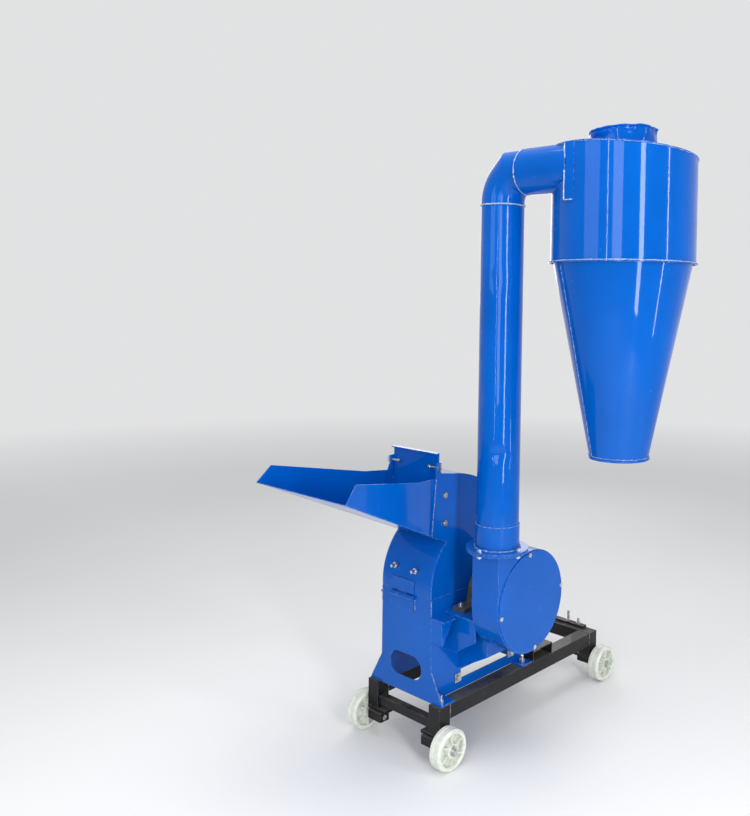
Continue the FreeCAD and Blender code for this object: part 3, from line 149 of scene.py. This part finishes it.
def upward(tree, low, high):
    """Near 1 on faces that look up."""
    normal = add(tree, "ShaderNodeNewGeometry").outputs["Normal"]
    z = add(tree, "ShaderNodeSeparateXYZ", [(0, normal)]).outputs["Z"]
    return ramp(tree, z, low, high)


def bumps(tree, shader, *layers):
    """Stacks (height socket, strength, distance) layers on the shader's normal."""
    before = None
    for height, strength, distance in layers:
        values = [("Height", height), ("Strength", strength), ("Distance", distance)]
        if before is not None:
            values.append(("Normal", before))
        before = add(tree, "ShaderNodeBump", values).outputs[0]
    tree.links.new(before, shader.inputs["Normal"])


def enamel(name, deep, light, chip, dust_and_top_light, wear, dust_and_top_light_share, rough, coat, gloss):
    """Glossy paint over sheet steel, chipped at its edges; faces that look up blend toward a top
    colour, which is grey dust on the black paint and a lighter blue, painted top light, on the blue
    paint.
    """
    made, tree, shader, place = start(name)
    shade = ramp(tree, cloud(tree, place, 3.5, 3.0), 0.3, 0.7)
    colour = mix(tree, shade, deep, light)
    speck = ramp(tree, cloud(tree, place, 150.0, 2.0), 0.755, 0.775, 0.0, 0.6)
    colour = mix(tree, speck, colour, chip)
    streak = ramp(tree, cloud(tree, place, 26.0, 5.0, 0.6, (9.0, 9.0, 0.6)), 0.70, 0.78, 0.0, 0.09)
    colour = mix(tree, streak, colour, chip)
    broken = ramp(tree, cloud(tree, place, 70.0, 4.0, 0.7), 0.44, 0.60)
    edge = edges(tree, 0.0022, 0.80, 0.985)
    worn = math_node(tree, "MULTIPLY", math_node(tree, "MULTIPLY", edge, broken), wear)
    colour = mix(tree, worn, colour, chip)
    # Upward faces take the top colour: grey dust on the black frame, and on the blue paint a lighter
    # blue that is painted top light.
    dust_and_top_light_mask = math_node(tree, "MULTIPLY", upward(tree, 0.55, 0.98),
                        ramp(tree, cloud(tree, place, 17.0, 6.0, 0.65), 0.32, 0.72, 0.15, 1.0))
    dust_and_top_light_mask = math_node(tree, "MULTIPLY", dust_and_top_light_mask, dust_and_top_light_share)
    colour = mix(tree, dust_and_top_light_mask, colour, dust_and_top_light)
    tree.links.new(colour, shader.inputs["Base Color"])
    smear = ramp(tree, cloud(tree, place, 9.0, 5.0, 0.6), 0.3, 0.75, rough, rough + 0.2)
    smear = math_node(tree, "ADD", smear, math_node(tree, "MULTIPLY", dust_and_top_light_mask, 0.45))
    tree.links.new(smear, shader.inputs["Roughness"])
    shader.inputs["Coat Weight"].default_value = coat
    shader.inputs["Coat Roughness"].default_value = 0.03
    shader.inputs["Specular IOR Level"].default_value = 0.10
    shader.inputs["Specular Tint"].default_value = gloss
    bumps(tree, shader,
          (cloud(tree, place, 5.5, 1.0), 0.16, 0.012),
          (cloud(tree, place, 420.0, 2.0), 0.10, 0.0006),
          (worn, 0.25, -0.0005))
    return made


def bare(name, dark, light, rust, rust_share, rough, metallic, stretch=(1, 1, 1)):
    """Machined, plated or cast metal with faint marks."""
    made, tree, shader, place = start(name)
    colour = mix(tree, ramp(tree, cloud(tree, place, 60.0, 5.0, 0.6, stretch), 0.3, 0.7),
                 dark, light)
    stain = ramp(tree, cloud(tree, place, 38.0, 5.0, 0.7), 0.52, 0.72, 0.0, rust_share)
    colour = mix(tree, stain, colour, rust)
    tree.links.new(colour, shader.inputs["Base Color"])
    shader.inputs["Metallic"].default_value = metallic
    tree.links.new(ramp(tree, cloud(tree, place, 120.0, 3.0), 0.3, 0.7, rough, rough + 0.22),
                   shader.inputs["Roughness"])
    bumps(tree, shader, (cloud(tree, place, 260.0, 4.0, 0.6, stretch), 0.30, 0.0006))
    return made


def nylon(name):
    """Off-white wheel plastic with patchy grey dirt, heaviest in creases, where an occlusion term
    paints shade into it.
    """
    made, tree, shader, place = start(name)
    colour = mix(tree, ramp(tree, cloud(tree, place, 22.0, 3.0), 0.3, 0.7),
                 (0.66, 0.71, 0.62, 1), (0.80, 0.83, 0.76, 1))
    dirt_and_crease_shade = ramp(tree, cloud(tree, place, 55.0, 6.0, 0.7), 0.46, 0.66, 0.0, 0.62)
    # Occlusion weights the dark dirt toward creases and recesses: real grime plus painted shade.
    low = add(tree, "ShaderNodeAmbientOcclusion", [("Distance", 0.02)], samples=6).outputs["AO"]
    dirt_and_crease_shade = math_node(tree, "MULTIPLY", dirt_and_crease_shade, ramp(tree, low, 0.95, 0.45, 0.35, 1.0))
    colour = mix(tree, dirt_and_crease_shade, colour, (0.24, 0.24, 0.21, 1))
    tree.links.new(colour, shader.inputs["Base Color"])
    tree.links.new(ramp(tree, cloud(tree, place, 80.0, 3.0), 0.3, 0.7, 0.33, 0.55),
                   shader.inputs["Roughness"])
    shader.inputs["Subsurface Weight"].default_value = 0.08
    shader.inputs["Subsurface Radius"].default_value = (0.008, 0.008, 0.006)
    bumps(tree, shader, (cloud(tree, place, 300.0, 3.0), 0.2, 0.0005),
          (cloud(tree, place, 45.0, 2.0), 0.2, 0.001))
    return made


def soft_rubber(name):
    made, tree, shader, place = start(name)
    colour = mix(tree, cloud(tree, place, 60.0, 4.0), (0.02, 0.02, 0.022, 1),
                 (0.07, 0.065, 0.06, 1))
    tree.links.new(colour, shader.inputs["Base Color"])
    shader.inputs["Roughness"].default_value = 0.75
    bumps(tree, shader, (cloud(tree, place, 300.0, 3.0), 0.4, 0.0006))
    return made


def weld_metal(name, base, fleck):
    """Painted-over weld bead: blue with pale, spattered crests."""
    made, tree, shader, place = start(name)
    share = ramp(tree, cloud(tree, place, 230.0, 4.0, 0.7), 0.47, 0.60)
    colour = mix(tree, share, base, fleck)
    tree.links.new(colour, shader.inputs["Base Color"])
    shader.inputs["Roughness"].default_value = 0.38
    bumps(tree, shader, (cloud(tree, place, 520.0, 4.0, 0.7), 0.7, 0.0012))
    return made


# The blue's top colour (0.02, 0.14, 0.44) is a lighter blue for upward faces: painted top light, not
# dust.
BLUE = enamel("blue_enamel", (0.0, 0.084, 0.41, 1), (0.0, 0.102, 0.49, 1),
              (0.36, 0.52, 0.74, 1), (0.02, 0.14, 0.44, 1), 0.75, 0.10, 0.12, 0.40,
              (0.05, 0.30, 1.0, 1))
BLACK = enamel("black_enamel", (0.008, 0.008, 0.010, 1), (0.020, 0.020, 0.022, 1),
               (0.36, 0.35, 0.33, 1), (0.19, 0.18, 0.165, 1), 0.75, 0.62, 0.30, 0.2,
               (1.0, 1.0, 1.0, 1))
STEEL = bare("bare_steel", (0.32, 0.32, 0.32, 1), (0.55, 0.55, 0.54, 1),
             (0.17, 0.10, 0.05, 1), 0.35, 0.24, 1.0, (0.25, 3.0, 3.0))
ZINC = bare("zinc_hardware", (0.50, 0.50, 0.49, 1), (0.78, 0.78, 0.76, 1),
            (0.25, 0.21, 0.15, 1), 0.30, 0.22, 1.0)
CASTING = bare("grey_casting", (0.045, 0.05, 0.055, 1), (0.10, 0.105, 0.11, 1),
               (0.16, 0.12, 0.09, 1), 0.35, 0.48, 0.35)
NYLON = nylon("nylon")
RUBBER = soft_rubber("gasket_rubber")
BLUE_WELD = weld_metal("blue_weld", (0.002, 0.085, 0.40, 1), (0.42, 0.52, 0.62, 1))
BLACK_WELD = weld_metal("black_weld", (0.02, 0.02, 0.022, 1), (0.30, 0.29, 0.28, 1))
PALE_WELD = weld_metal("pale_weld", (0.16, 0.30, 0.52, 1), (0.78, 0.82, 0.84, 1))

FINISH = {
    "blue_enamel": BLUE, "black_enamel": BLACK, "bare_steel": STEEL, "zinc_hardware": ZINC,
    "grey_casting": CASTING, "nylon": NYLON, "gasket_rubber": RUBBER,
}
for part in frame["record"]["subparts"]:
    for place in frame["nodes"][part["node"]].material_slots:
        place.material = FINISH[part["material_slot"]]


# ---------------------------------------------------------------- pieces
def piece(name, points, faces, material, body, smooth=True):
    mesh = bpy.data.meshes.new(name)
    mesh.from_pydata(points, [], faces)
    mesh.update()
    mesh.materials.append(material)
    for polygon in mesh.polygons:
        polygon.use_smooth = smooth
    made = bpy.data.objects.new(name, mesh)
    bpy.context.scene.collection.objects.link(made)
    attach(made, body)
    return made


class Beads:
    """Weld beads that share one mesh."""

    def __init__(self, name, material, body, slot):
        self.about = (name, material, body, slot)
        self.points = []
        self.faces = []

    def along(self, path, size, closed=False, pitch=0.007, sides=7):
        """A rippled, slightly uneven bead along a list of points."""
        path = resample(path, pitch / 3, closed)
        count = len(path)
        first = len(self.points)
        for i, at in enumerate(path):
            ahead = path[(i + 1) % count] if closed or i < count - 1 else at
            behind = path[i - 1] if closed or i else at
            run = (ahead - behind).normalized()
            side = run.orthogonal().normalized()
            over = run.cross(side)
            ripple = 0.80 + 0.20 * abs(math.sin(math.pi * i / 3))
            uneven = 1.0 + 0.35 * noise.noise(at * 130.0)
            drift = noise.noise_vector(at * 60.0) * size * 0.3
            end = 0.25 if not closed and i in (0, count - 1) else 1.0
            r = size * ripple * uneven * end
            for k in range(sides):
                turn = 2 * math.pi * k / sides
                self.points.append(at + drift + side * (r * math.cos(turn))
                                   + over * (r * math.sin(turn)))
        rings = count if closed else count - 1
        for i in range(rings):
            a = first + i * sides
            b = first + (i + 1) % count * sides
            for k in range(sides):
                n = (k + 1) % sides
                self.faces.append((a + k, a + n, b + n, b + k))
        if not closed:
            self.faces.append(tuple(first + k for k in reversed(range(sides))))
            self.faces.append(tuple(first + rings * sides + k for k in range(sides)))

    def ring(self, centre, radius, size, axis=Vector((0, 0, 1)), start_turn=0.0, sweep=360.0):
        side = axis.orthogonal().normalized()
        over = axis.cross(side)
        steps = max(12, int(radius * abs(sweep) / 360 * 2 * math.pi / 0.004))
        closed = abs(sweep) >= 360
        path = []
        for i in range(steps if closed else steps + 1):
            turn = math.radians(start_turn + sweep * i / steps)
            path.append(centre + side * (radius * math.cos(turn))
                        + over * (radius * math.sin(turn)))
        self.along(path, size, closed)

    def done(self):
        name, material, body, slot = self.about
        return piece(name, self.points, self.faces, material, body)


def resample(path, step, closed):
    """Points at even steps along a path."""
    path = [Vector(p) for p in path]
    if closed:
        path.append(path[0])
    lengths = [(b - a).length for a, b in zip(path, path[1:])]
    total = sum(lengths)
    count = max(3, round(total / step))
    made = []
    at = 0
    passed = 0.0
    for i in range(count if closed else count + 1):
        want = total * i / count
        while at < len(lengths) - 1 and passed + lengths[at] < want:
            passed += lengths[at]
            at += 1
        share = min(1.0, (want - passed) / lengths[at])
        made.append(path[at].lerp(path[at + 1], share))
    return made


def turned(name, axis, profile, material, body, wobble, turns=128):
    """A round sheet part from (radius, height) pairs; wobble gives each point's move out and down."""
    points = []
    faces = []
    for i in range(turns):
        turn = 2 * math.pi * i / turns
        for radius, height in profile:
            out, down = wobble(turn, height)
            r = radius + out
            points.append((axis.x + r * math.cos(turn), axis.y + r * math.sin(turn),
                           height - down))
    rows = len(profile)
    for i in range(turns):
        a = i * rows
        b = (i + 1) % turns * rows
        for k in range(rows):
            n = (k + 1) % rows
            faces.append((a + k, b + k, b + n, a + n))
    return piece(name, points, faces, material, body)


def levels(low, high, count):
    return [low + (high - low) * i / count for i in range(count + 1)]


def hit(turn, height, centre, level, width, tall, depth):
    """Depth of one dent at a place on a round wall."""
    apart = (turn - centre + math.pi) % (2 * math.pi) - math.pi
    return -depth * math.exp(-(apart / width) ** 2 - ((height - level) / tall) ** 2)


def make_riser():
    """The riser with the shallow dents of hand-rolled sheet."""
    dents = [(math.radians(250), 1.36, 0.30, 0.030, 0.0030),
             (math.radians(262), 1.52, 0.22, 0.024, 0.0022),
             (math.radians(300), 1.78, 0.30, 0.045, 0.0016),
             (math.radians(307), 1.165, 0.42, 0.022, 0.0042)]

    def wall(turn, height):
        sag = sum(hit(turn, height, *dent) for dent in dents)
        return sag + 0.0003 * (noise.noise(Vector((math.cos(turn) * 2.2, math.sin(turn) * 2.2,
                                                   height * 7))) - 1.0), 0.0

    heights = levels(PIPE_LOW.z, PIPE_HIGH.z, 150)
    profile = [(PIPE_RADIUS, z) for z in heights]
    profile += [(PIPE_RADIUS - TUBE_SHEET, z) for z in reversed(heights)]
    made = turned("riser_pipe_dented", PIPE_AXIS, profile, BLUE, "chassis", wall)
    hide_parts("riser_pipe")


def make_collar():
    """The exhaust collar: hand-bent, dented sheet with a rolled rim."""
    radius = (TUBE_HIGH.x - TUBE_LOW.x) / 2 - 0.003
    lid = LID_HIGH.z

    def wall(turn, height):
        free = min(1.0, max(0.0, (height - lid - 0.004) / 0.05))
        place = Vector((math.cos(turn) * 1.7, math.sin(turn) * 1.7, height * 9))
        flare = max(0.0, math.cos(turn - FLARE_WAY)) ** 2
        out = 0.0075 * noise.noise(place * 1.4) - 0.0045 + 0.0026 * noise.noise(place * 5.0)
        down = 0.012 * flare + 0.004 * (1 + noise.noise(place * 2.0))
        return free * (out + 0.015 * flare * free), free * down

    top = TUBE_HIGH.z
    rim = 0.0030
    roll = [(radius + rim * math.sin(a), top - rim - 0.0015 + rim * math.cos(a) * 1.2)
            for a in levels(math.radians(150), math.radians(-60), 8)]
    low = levels(TUBE_LOW.z, top - 0.008, 60)
    profile = [(radius, z) for z in low] + roll
    profile += [(radius - TUBE_SHEET, z) for z in reversed(low)]
    made = turned("exhaust_collar_bent", CONE_AXIS, profile, BLUE, "chassis",
                  wall)
    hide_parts("exhaust_tube")


def make_pipe_welds():
    pale = Beads("pipe_top_weld", PALE_WELD, "chassis", "blue_enamel")
    pale.ring(Vector((PIPE_AXIS.x, PIPE_AXIS.y, PIPE_HIGH.z)), PIPE_RADIUS + 0.0008, 0.0030)
    pale.ring(Vector((DUCT_LOW.x, PIPE_AXIS.y, DUCT_LEVEL)), DUCT_RADIUS - 0.002, 0.0030,
              Vector((1, 0, 0)))
    pale.done()
    blue = Beads("sleeve_welds", BLUE_WELD, "chassis", "blue_enamel")
    foot = SLEEVE_LOW.z + FLANGE_STACK
    blue.ring(Vector((PIPE_AXIS.x, PIPE_AXIS.y, foot)), PIPE_RADIUS + SLEEVE_SHEET, 0.0030)
    blue.ring(Vector((PIPE_AXIS.x, PIPE_AXIS.y, SLEEVE_HIGH.z)), PIPE_RADIUS + 0.0015, 0.0018)
    blue.done()


def make_cyclone_welds():
    seam = Beads("cyclone_seam_weld", PALE_WELD, "chassis", "blue_enamel")
    radius = (CYLINDER_HIGH.x - CYLINDER_LOW.x) / 2
    middle = Vector((CONE_AXIS.x, CONE_AXIS.y, CYLINDER_LOW.z))
    seam.ring(middle, radius + 0.0015, 0.0024)
    seam.done()
    blue = Beads("cyclone_welds", BLUE_WELD, "chassis", "blue_enamel")
    blue.ring(LID_MIDDLE - LID_UP * 0.002, radius + 0.0008, 0.0020, LID_UP)
    blue.ring(LID_MIDDLE + LID_UP * 0.0016, (TUBE_HIGH.x - TUBE_LOW.x) / 2 - 0.0035, 0.0026,
              LID_UP)
    blue.ring(Vector((CONE_AXIS.x, CONE_AXIS.y, CONE_LOW.z)), CONE_FOOT_RADIUS, 0.0026)
    for turn in (-118.0, 62.0):
        way = Vector((math.cos(math.radians(turn)), math.sin(math.radians(turn)), 0))
        high = Vector((CONE_AXIS.x, CONE_AXIS.y, CONE_HIGH.z - 0.004)) + way * CONE_TOP_RADIUS
        low = Vector((CONE_AXIS.x, CONE_AXIS.y, CONE_LOW.z + 0.002)) + way * CONE_FOOT_RADIUS
        blue.along([low, high], 0.0016)
    blue.done()


def make_inlet_weld():
    """Crumpled joint where the round duct meets the cyclone's flat corner."""
    pale = Beads("inlet_joint_weld", PALE_WELD, "chassis", "blue_enamel")
    x = INLET_CORNER_X
    wall = CYLINDER_LOW.y
    path = [Vector((x + 0.002 * noise.noise(Vector((0, 0, z * 40))), wall - 0.0008, z))
            for z in levels(DUCT_LOW.z + 0.002, LID_HIGH.z - 0.006, 26)]
    pale.along(path, 0.0026)
    foot = DUCT_LOW.z + 0.001
    pale.along([(x, wall - 0.0005, foot), (x + TAB_WIDTH, wall - 0.0005, foot)], 0.0018)
    pale.done()


def make_casing_welds():
    blue = Beads("casing_welds", BLUE_WELD, "chassis", "blue_enamel")
    front = CASING_LOW.y
    half = SIDE_HIGH.x
    for side in (-1, 1):
        x = half * side
        blue.along([(x, front - 0.0004, LUG_TOP + 0.004),
                    (x, front - 0.0004, CASING_HIGH.z - 0.004)], 0.0019)
        blue.along([(x, front + 0.004, CASING_KINK),
                    (CASING_HIGH.x * side, front + 0.004, CASING_LOW.z + 0.004)], 0.0018)
        blue.along([(x, SIDE_HIGH.y, SIDE_LOW.z + 0.004), (x, SIDE_HIGH.y, SIDE_HIGH.z - 0.004)],
                   0.0019)
    blue.done()
    cover = Beads("cover_welds", BLUE_WELD, "cover", "blue_enamel")
    steps = 26
    for side in (-1, 1):
        path = []
        for i in range(steps + 1):
            turn = math.radians(4 + 42 * i / steps)
            path.append(Vector((COVER_HIGH.x * side - 0.0006 * side,
                                COVER_HIGH.y - COVER_BACK_RADIUS * (1 - math.cos(turn)),
                                COVER_LOW.z + COVER_BACK_RADIUS * math.sin(turn))))
        cover.along(path, 0.0018)
        cover.along([(COVER_HIGH.x * side, CASING_LOW.y - 0.003, TRAY_FOOT),
                     (COVER_HIGH.x * side, CASING_LOW.y - 0.003 + TRAY_JOINT_LEAN, TRAY_HEAD)],
                    0.0020)
    cover.done()
    # Small pale bead spots along the hinge leaf's right edge: painted highlights standing in for the
    # glints on that edge.
    edge_glints = Beads("hinge_edge_painted_glints", PALE_WELD, "chassis", "blue_enamel")
    right = LEAF_HIGH.x + 0.002
    for z in levels(LEAF_LOW.z + 0.003, LEAF_HIGH.z - 0.02, 5):
        edge_glints.along([(right, CASING_LOW.y - 0.001, z),
                     (right + 0.001, CASING_LOW.y - 0.001, z + 0.004)], 0.0022)
    edge_glints.done()


def make_frame_welds():
    black = Beads("frame_welds", BLACK_WELD, "chassis", "black_enamel")
    inner = RAIL_HIGH.x - POST_WIDTH
    for end, y in ((-1, POST_LOW.y), (1, POST_HIGH.y)):
        near = y - end * POST_WIDTH
        for side in (-1, 1):
            x = inner * side
            black.along([(x, near, RAIL_LOW.z + 0.002), (x, near, RAIL_HIGH.z - 0.002)], 0.0026)
            black.along([(x, near, RAIL_HIGH.z), (RAIL_HIGH.x * side, near, RAIL_HIGH.z)], 0.0026)
            black.along([(RAIL_HIGH.x * side, near, RAIL_LOW.z),
                         (RAIL_HIGH.x * side, near, RAIL_HIGH.z)], 0.0024)
    black.done()


make_riser()
make_collar()
make_pipe_welds()
make_cyclone_welds()
make_inlet_weld()
make_casing_welds()
make_frame_welds()


# ---------------------------------------------------------------- floor, light and camera
AZIMUTH = math.radians(40.317)
STUDIO_TONE = (0.985, 0.99, 1.0, 1)


def make_stage():
    """A pale floor that fades into the studio's bright side, and the studio round it."""
    made, tree, shader, place = start("pale_floor")
    reach = add(tree, "ShaderNodeVectorMath", [(0, place)], operation="LENGTH").outputs["Value"]
    far = ramp(tree, reach, 2.6, 9.0)
    tone = mix(tree, cloud(tree, place, 0.7, 3.0), (0.84, 0.845, 0.85, 1), (0.88, 0.885, 0.89, 1))
    tree.links.new(mix(tree, far, tone, (0, 0, 0, 1)), shader.inputs["Base Color"])
    shader.inputs["Roughness"].default_value = 0.7
    shader.inputs["Specular IOR Level"].default_value = 0.0
    shader.inputs["Emission Color"].default_value = STUDIO_TONE
    glow = math_node(tree, "MULTIPLY", far, studio_glow(tree, place))
    tree.links.new(glow, shader.inputs["Emission Strength"])
    size = 60.0
    mesh = bpy.data.meshes.new("floor")
    mesh.from_pydata([(-size, -size, FLOOR), (size, -size, FLOOR), (size, size, FLOOR),
                      (-size, size, FLOOR)], [], [(0, 1, 2, 3)])
    mesh.materials.append(made)
    floor = bpy.data.objects.new("floor", mesh)
    bpy.context.scene.collection.objects.link(floor)
    world = bpy.data.worlds.new("studio")
    bpy.context.scene.world = world
    world.use_nodes = True
    tree = world.node_tree
    back = tree.nodes["Background"]
    back.inputs["Color"].default_value = STUDIO_TONE
    way = add(tree, "ShaderNodeTexCoord").outputs["Generated"]
    tree.links.new(studio_glow(tree, way), back.inputs["Strength"])


def studio_glow(tree, way):
    """Brightness of the studio in a direction: pale behind the mill, dim in front of it."""
    level = add(tree, "ShaderNodeVectorMath", [(0, way), (1, (1.0, 1.0, 0.0))],
                operation="MULTIPLY").outputs[0]
    level = add(tree, "ShaderNodeVectorMath", [(0, level)], operation="NORMALIZE").outputs[0]
    ahead = (-math.sin(AZIMUTH), math.cos(AZIMUTH), 0.0)
    toward = add(tree, "ShaderNodeVectorMath", [(0, level), (1, ahead)],
                 operation="DOT_PRODUCT").outputs["Value"]
    return ramp(tree, toward, -0.3, 0.7, 0.24, 0.77)


def softbox(name, place, target, size, power):
    lamp = bpy.data.lights.new(name, "AREA")
    lamp.shape = "RECTANGLE"
    lamp.size, lamp.size_y = size
    lamp.energy = power
    made = bpy.data.objects.new(name, lamp)
    made.location = place
    way = Vector(target) - Vector(place)
    made.rotation_euler = way.to_track_quat("-Z", "Y").to_euler()
    bpy.context.scene.collection.objects.link(made)


def make_camera():
    """The photograph's viewpoint: at eye height, with the mill right of the middle."""
    eye = Vector((2.3265, -2.7103, 1.7063))
    pitch, roll = (math.radians(v) for v in (1.370, 0.980))
    ahead = Vector((-math.sin(AZIMUTH) * math.cos(pitch), math.cos(AZIMUTH) * math.cos(pitch),
                    -math.sin(pitch)))
    level = Vector((math.cos(AZIMUTH), math.sin(AZIMUTH), 0))
    above = level.cross(ahead)
    right = level * math.cos(roll) + above * math.sin(roll)
    up = above * math.cos(roll) - level * math.sin(roll)
    lens = bpy.data.cameras.new("camera")
    lens.sensor_width = 36.0
    lens.lens = 37.33
    lens.shift_x = -0.1551
    lens.shift_y = -0.1060
    camera = bpy.data.objects.new("camera", lens)
    camera.matrix_world = Matrix((
        (right.x, up.x, -ahead.x, eye.x), (right.y, up.y, -ahead.y, eye.y),
        (right.z, up.z, -ahead.z, eye.z), (0, 0, 0, 1)))
    bpy.context.scene.collection.objects.link(camera)
    bpy.context.scene.camera = camera


make_stage()
middle = (0.3, -0.2, 1.1)
softbox("key", (-0.6, -4.6, 2.8), middle, (2.0, 2.0), 30)
softbox("soft_front", (2.37, -3.9, 1.9), middle, (1.0, 2.2), 40)
softbox("strip_main", (3.55, -1.85, 1.7), middle, (0.38, 2.9), 72)
softbox("strip_right", (3.78, 0.39, 1.8), middle, (0.10, 2.9), 24)
softbox("strip_left", (1.34, -4.0, 1.9), middle, (0.06, 2.8), 16)
softbox("top", (0.6, -0.9, 4.1), (0.3, -0.5, 0.5), (2.2, 2.2), 58)
softbox("back", (-2.6, 2.8, 2.6), middle, (1.8, 2.0), 24)
make_camera()
bpy.context.scene.view_settings.view_transform = "Standard"
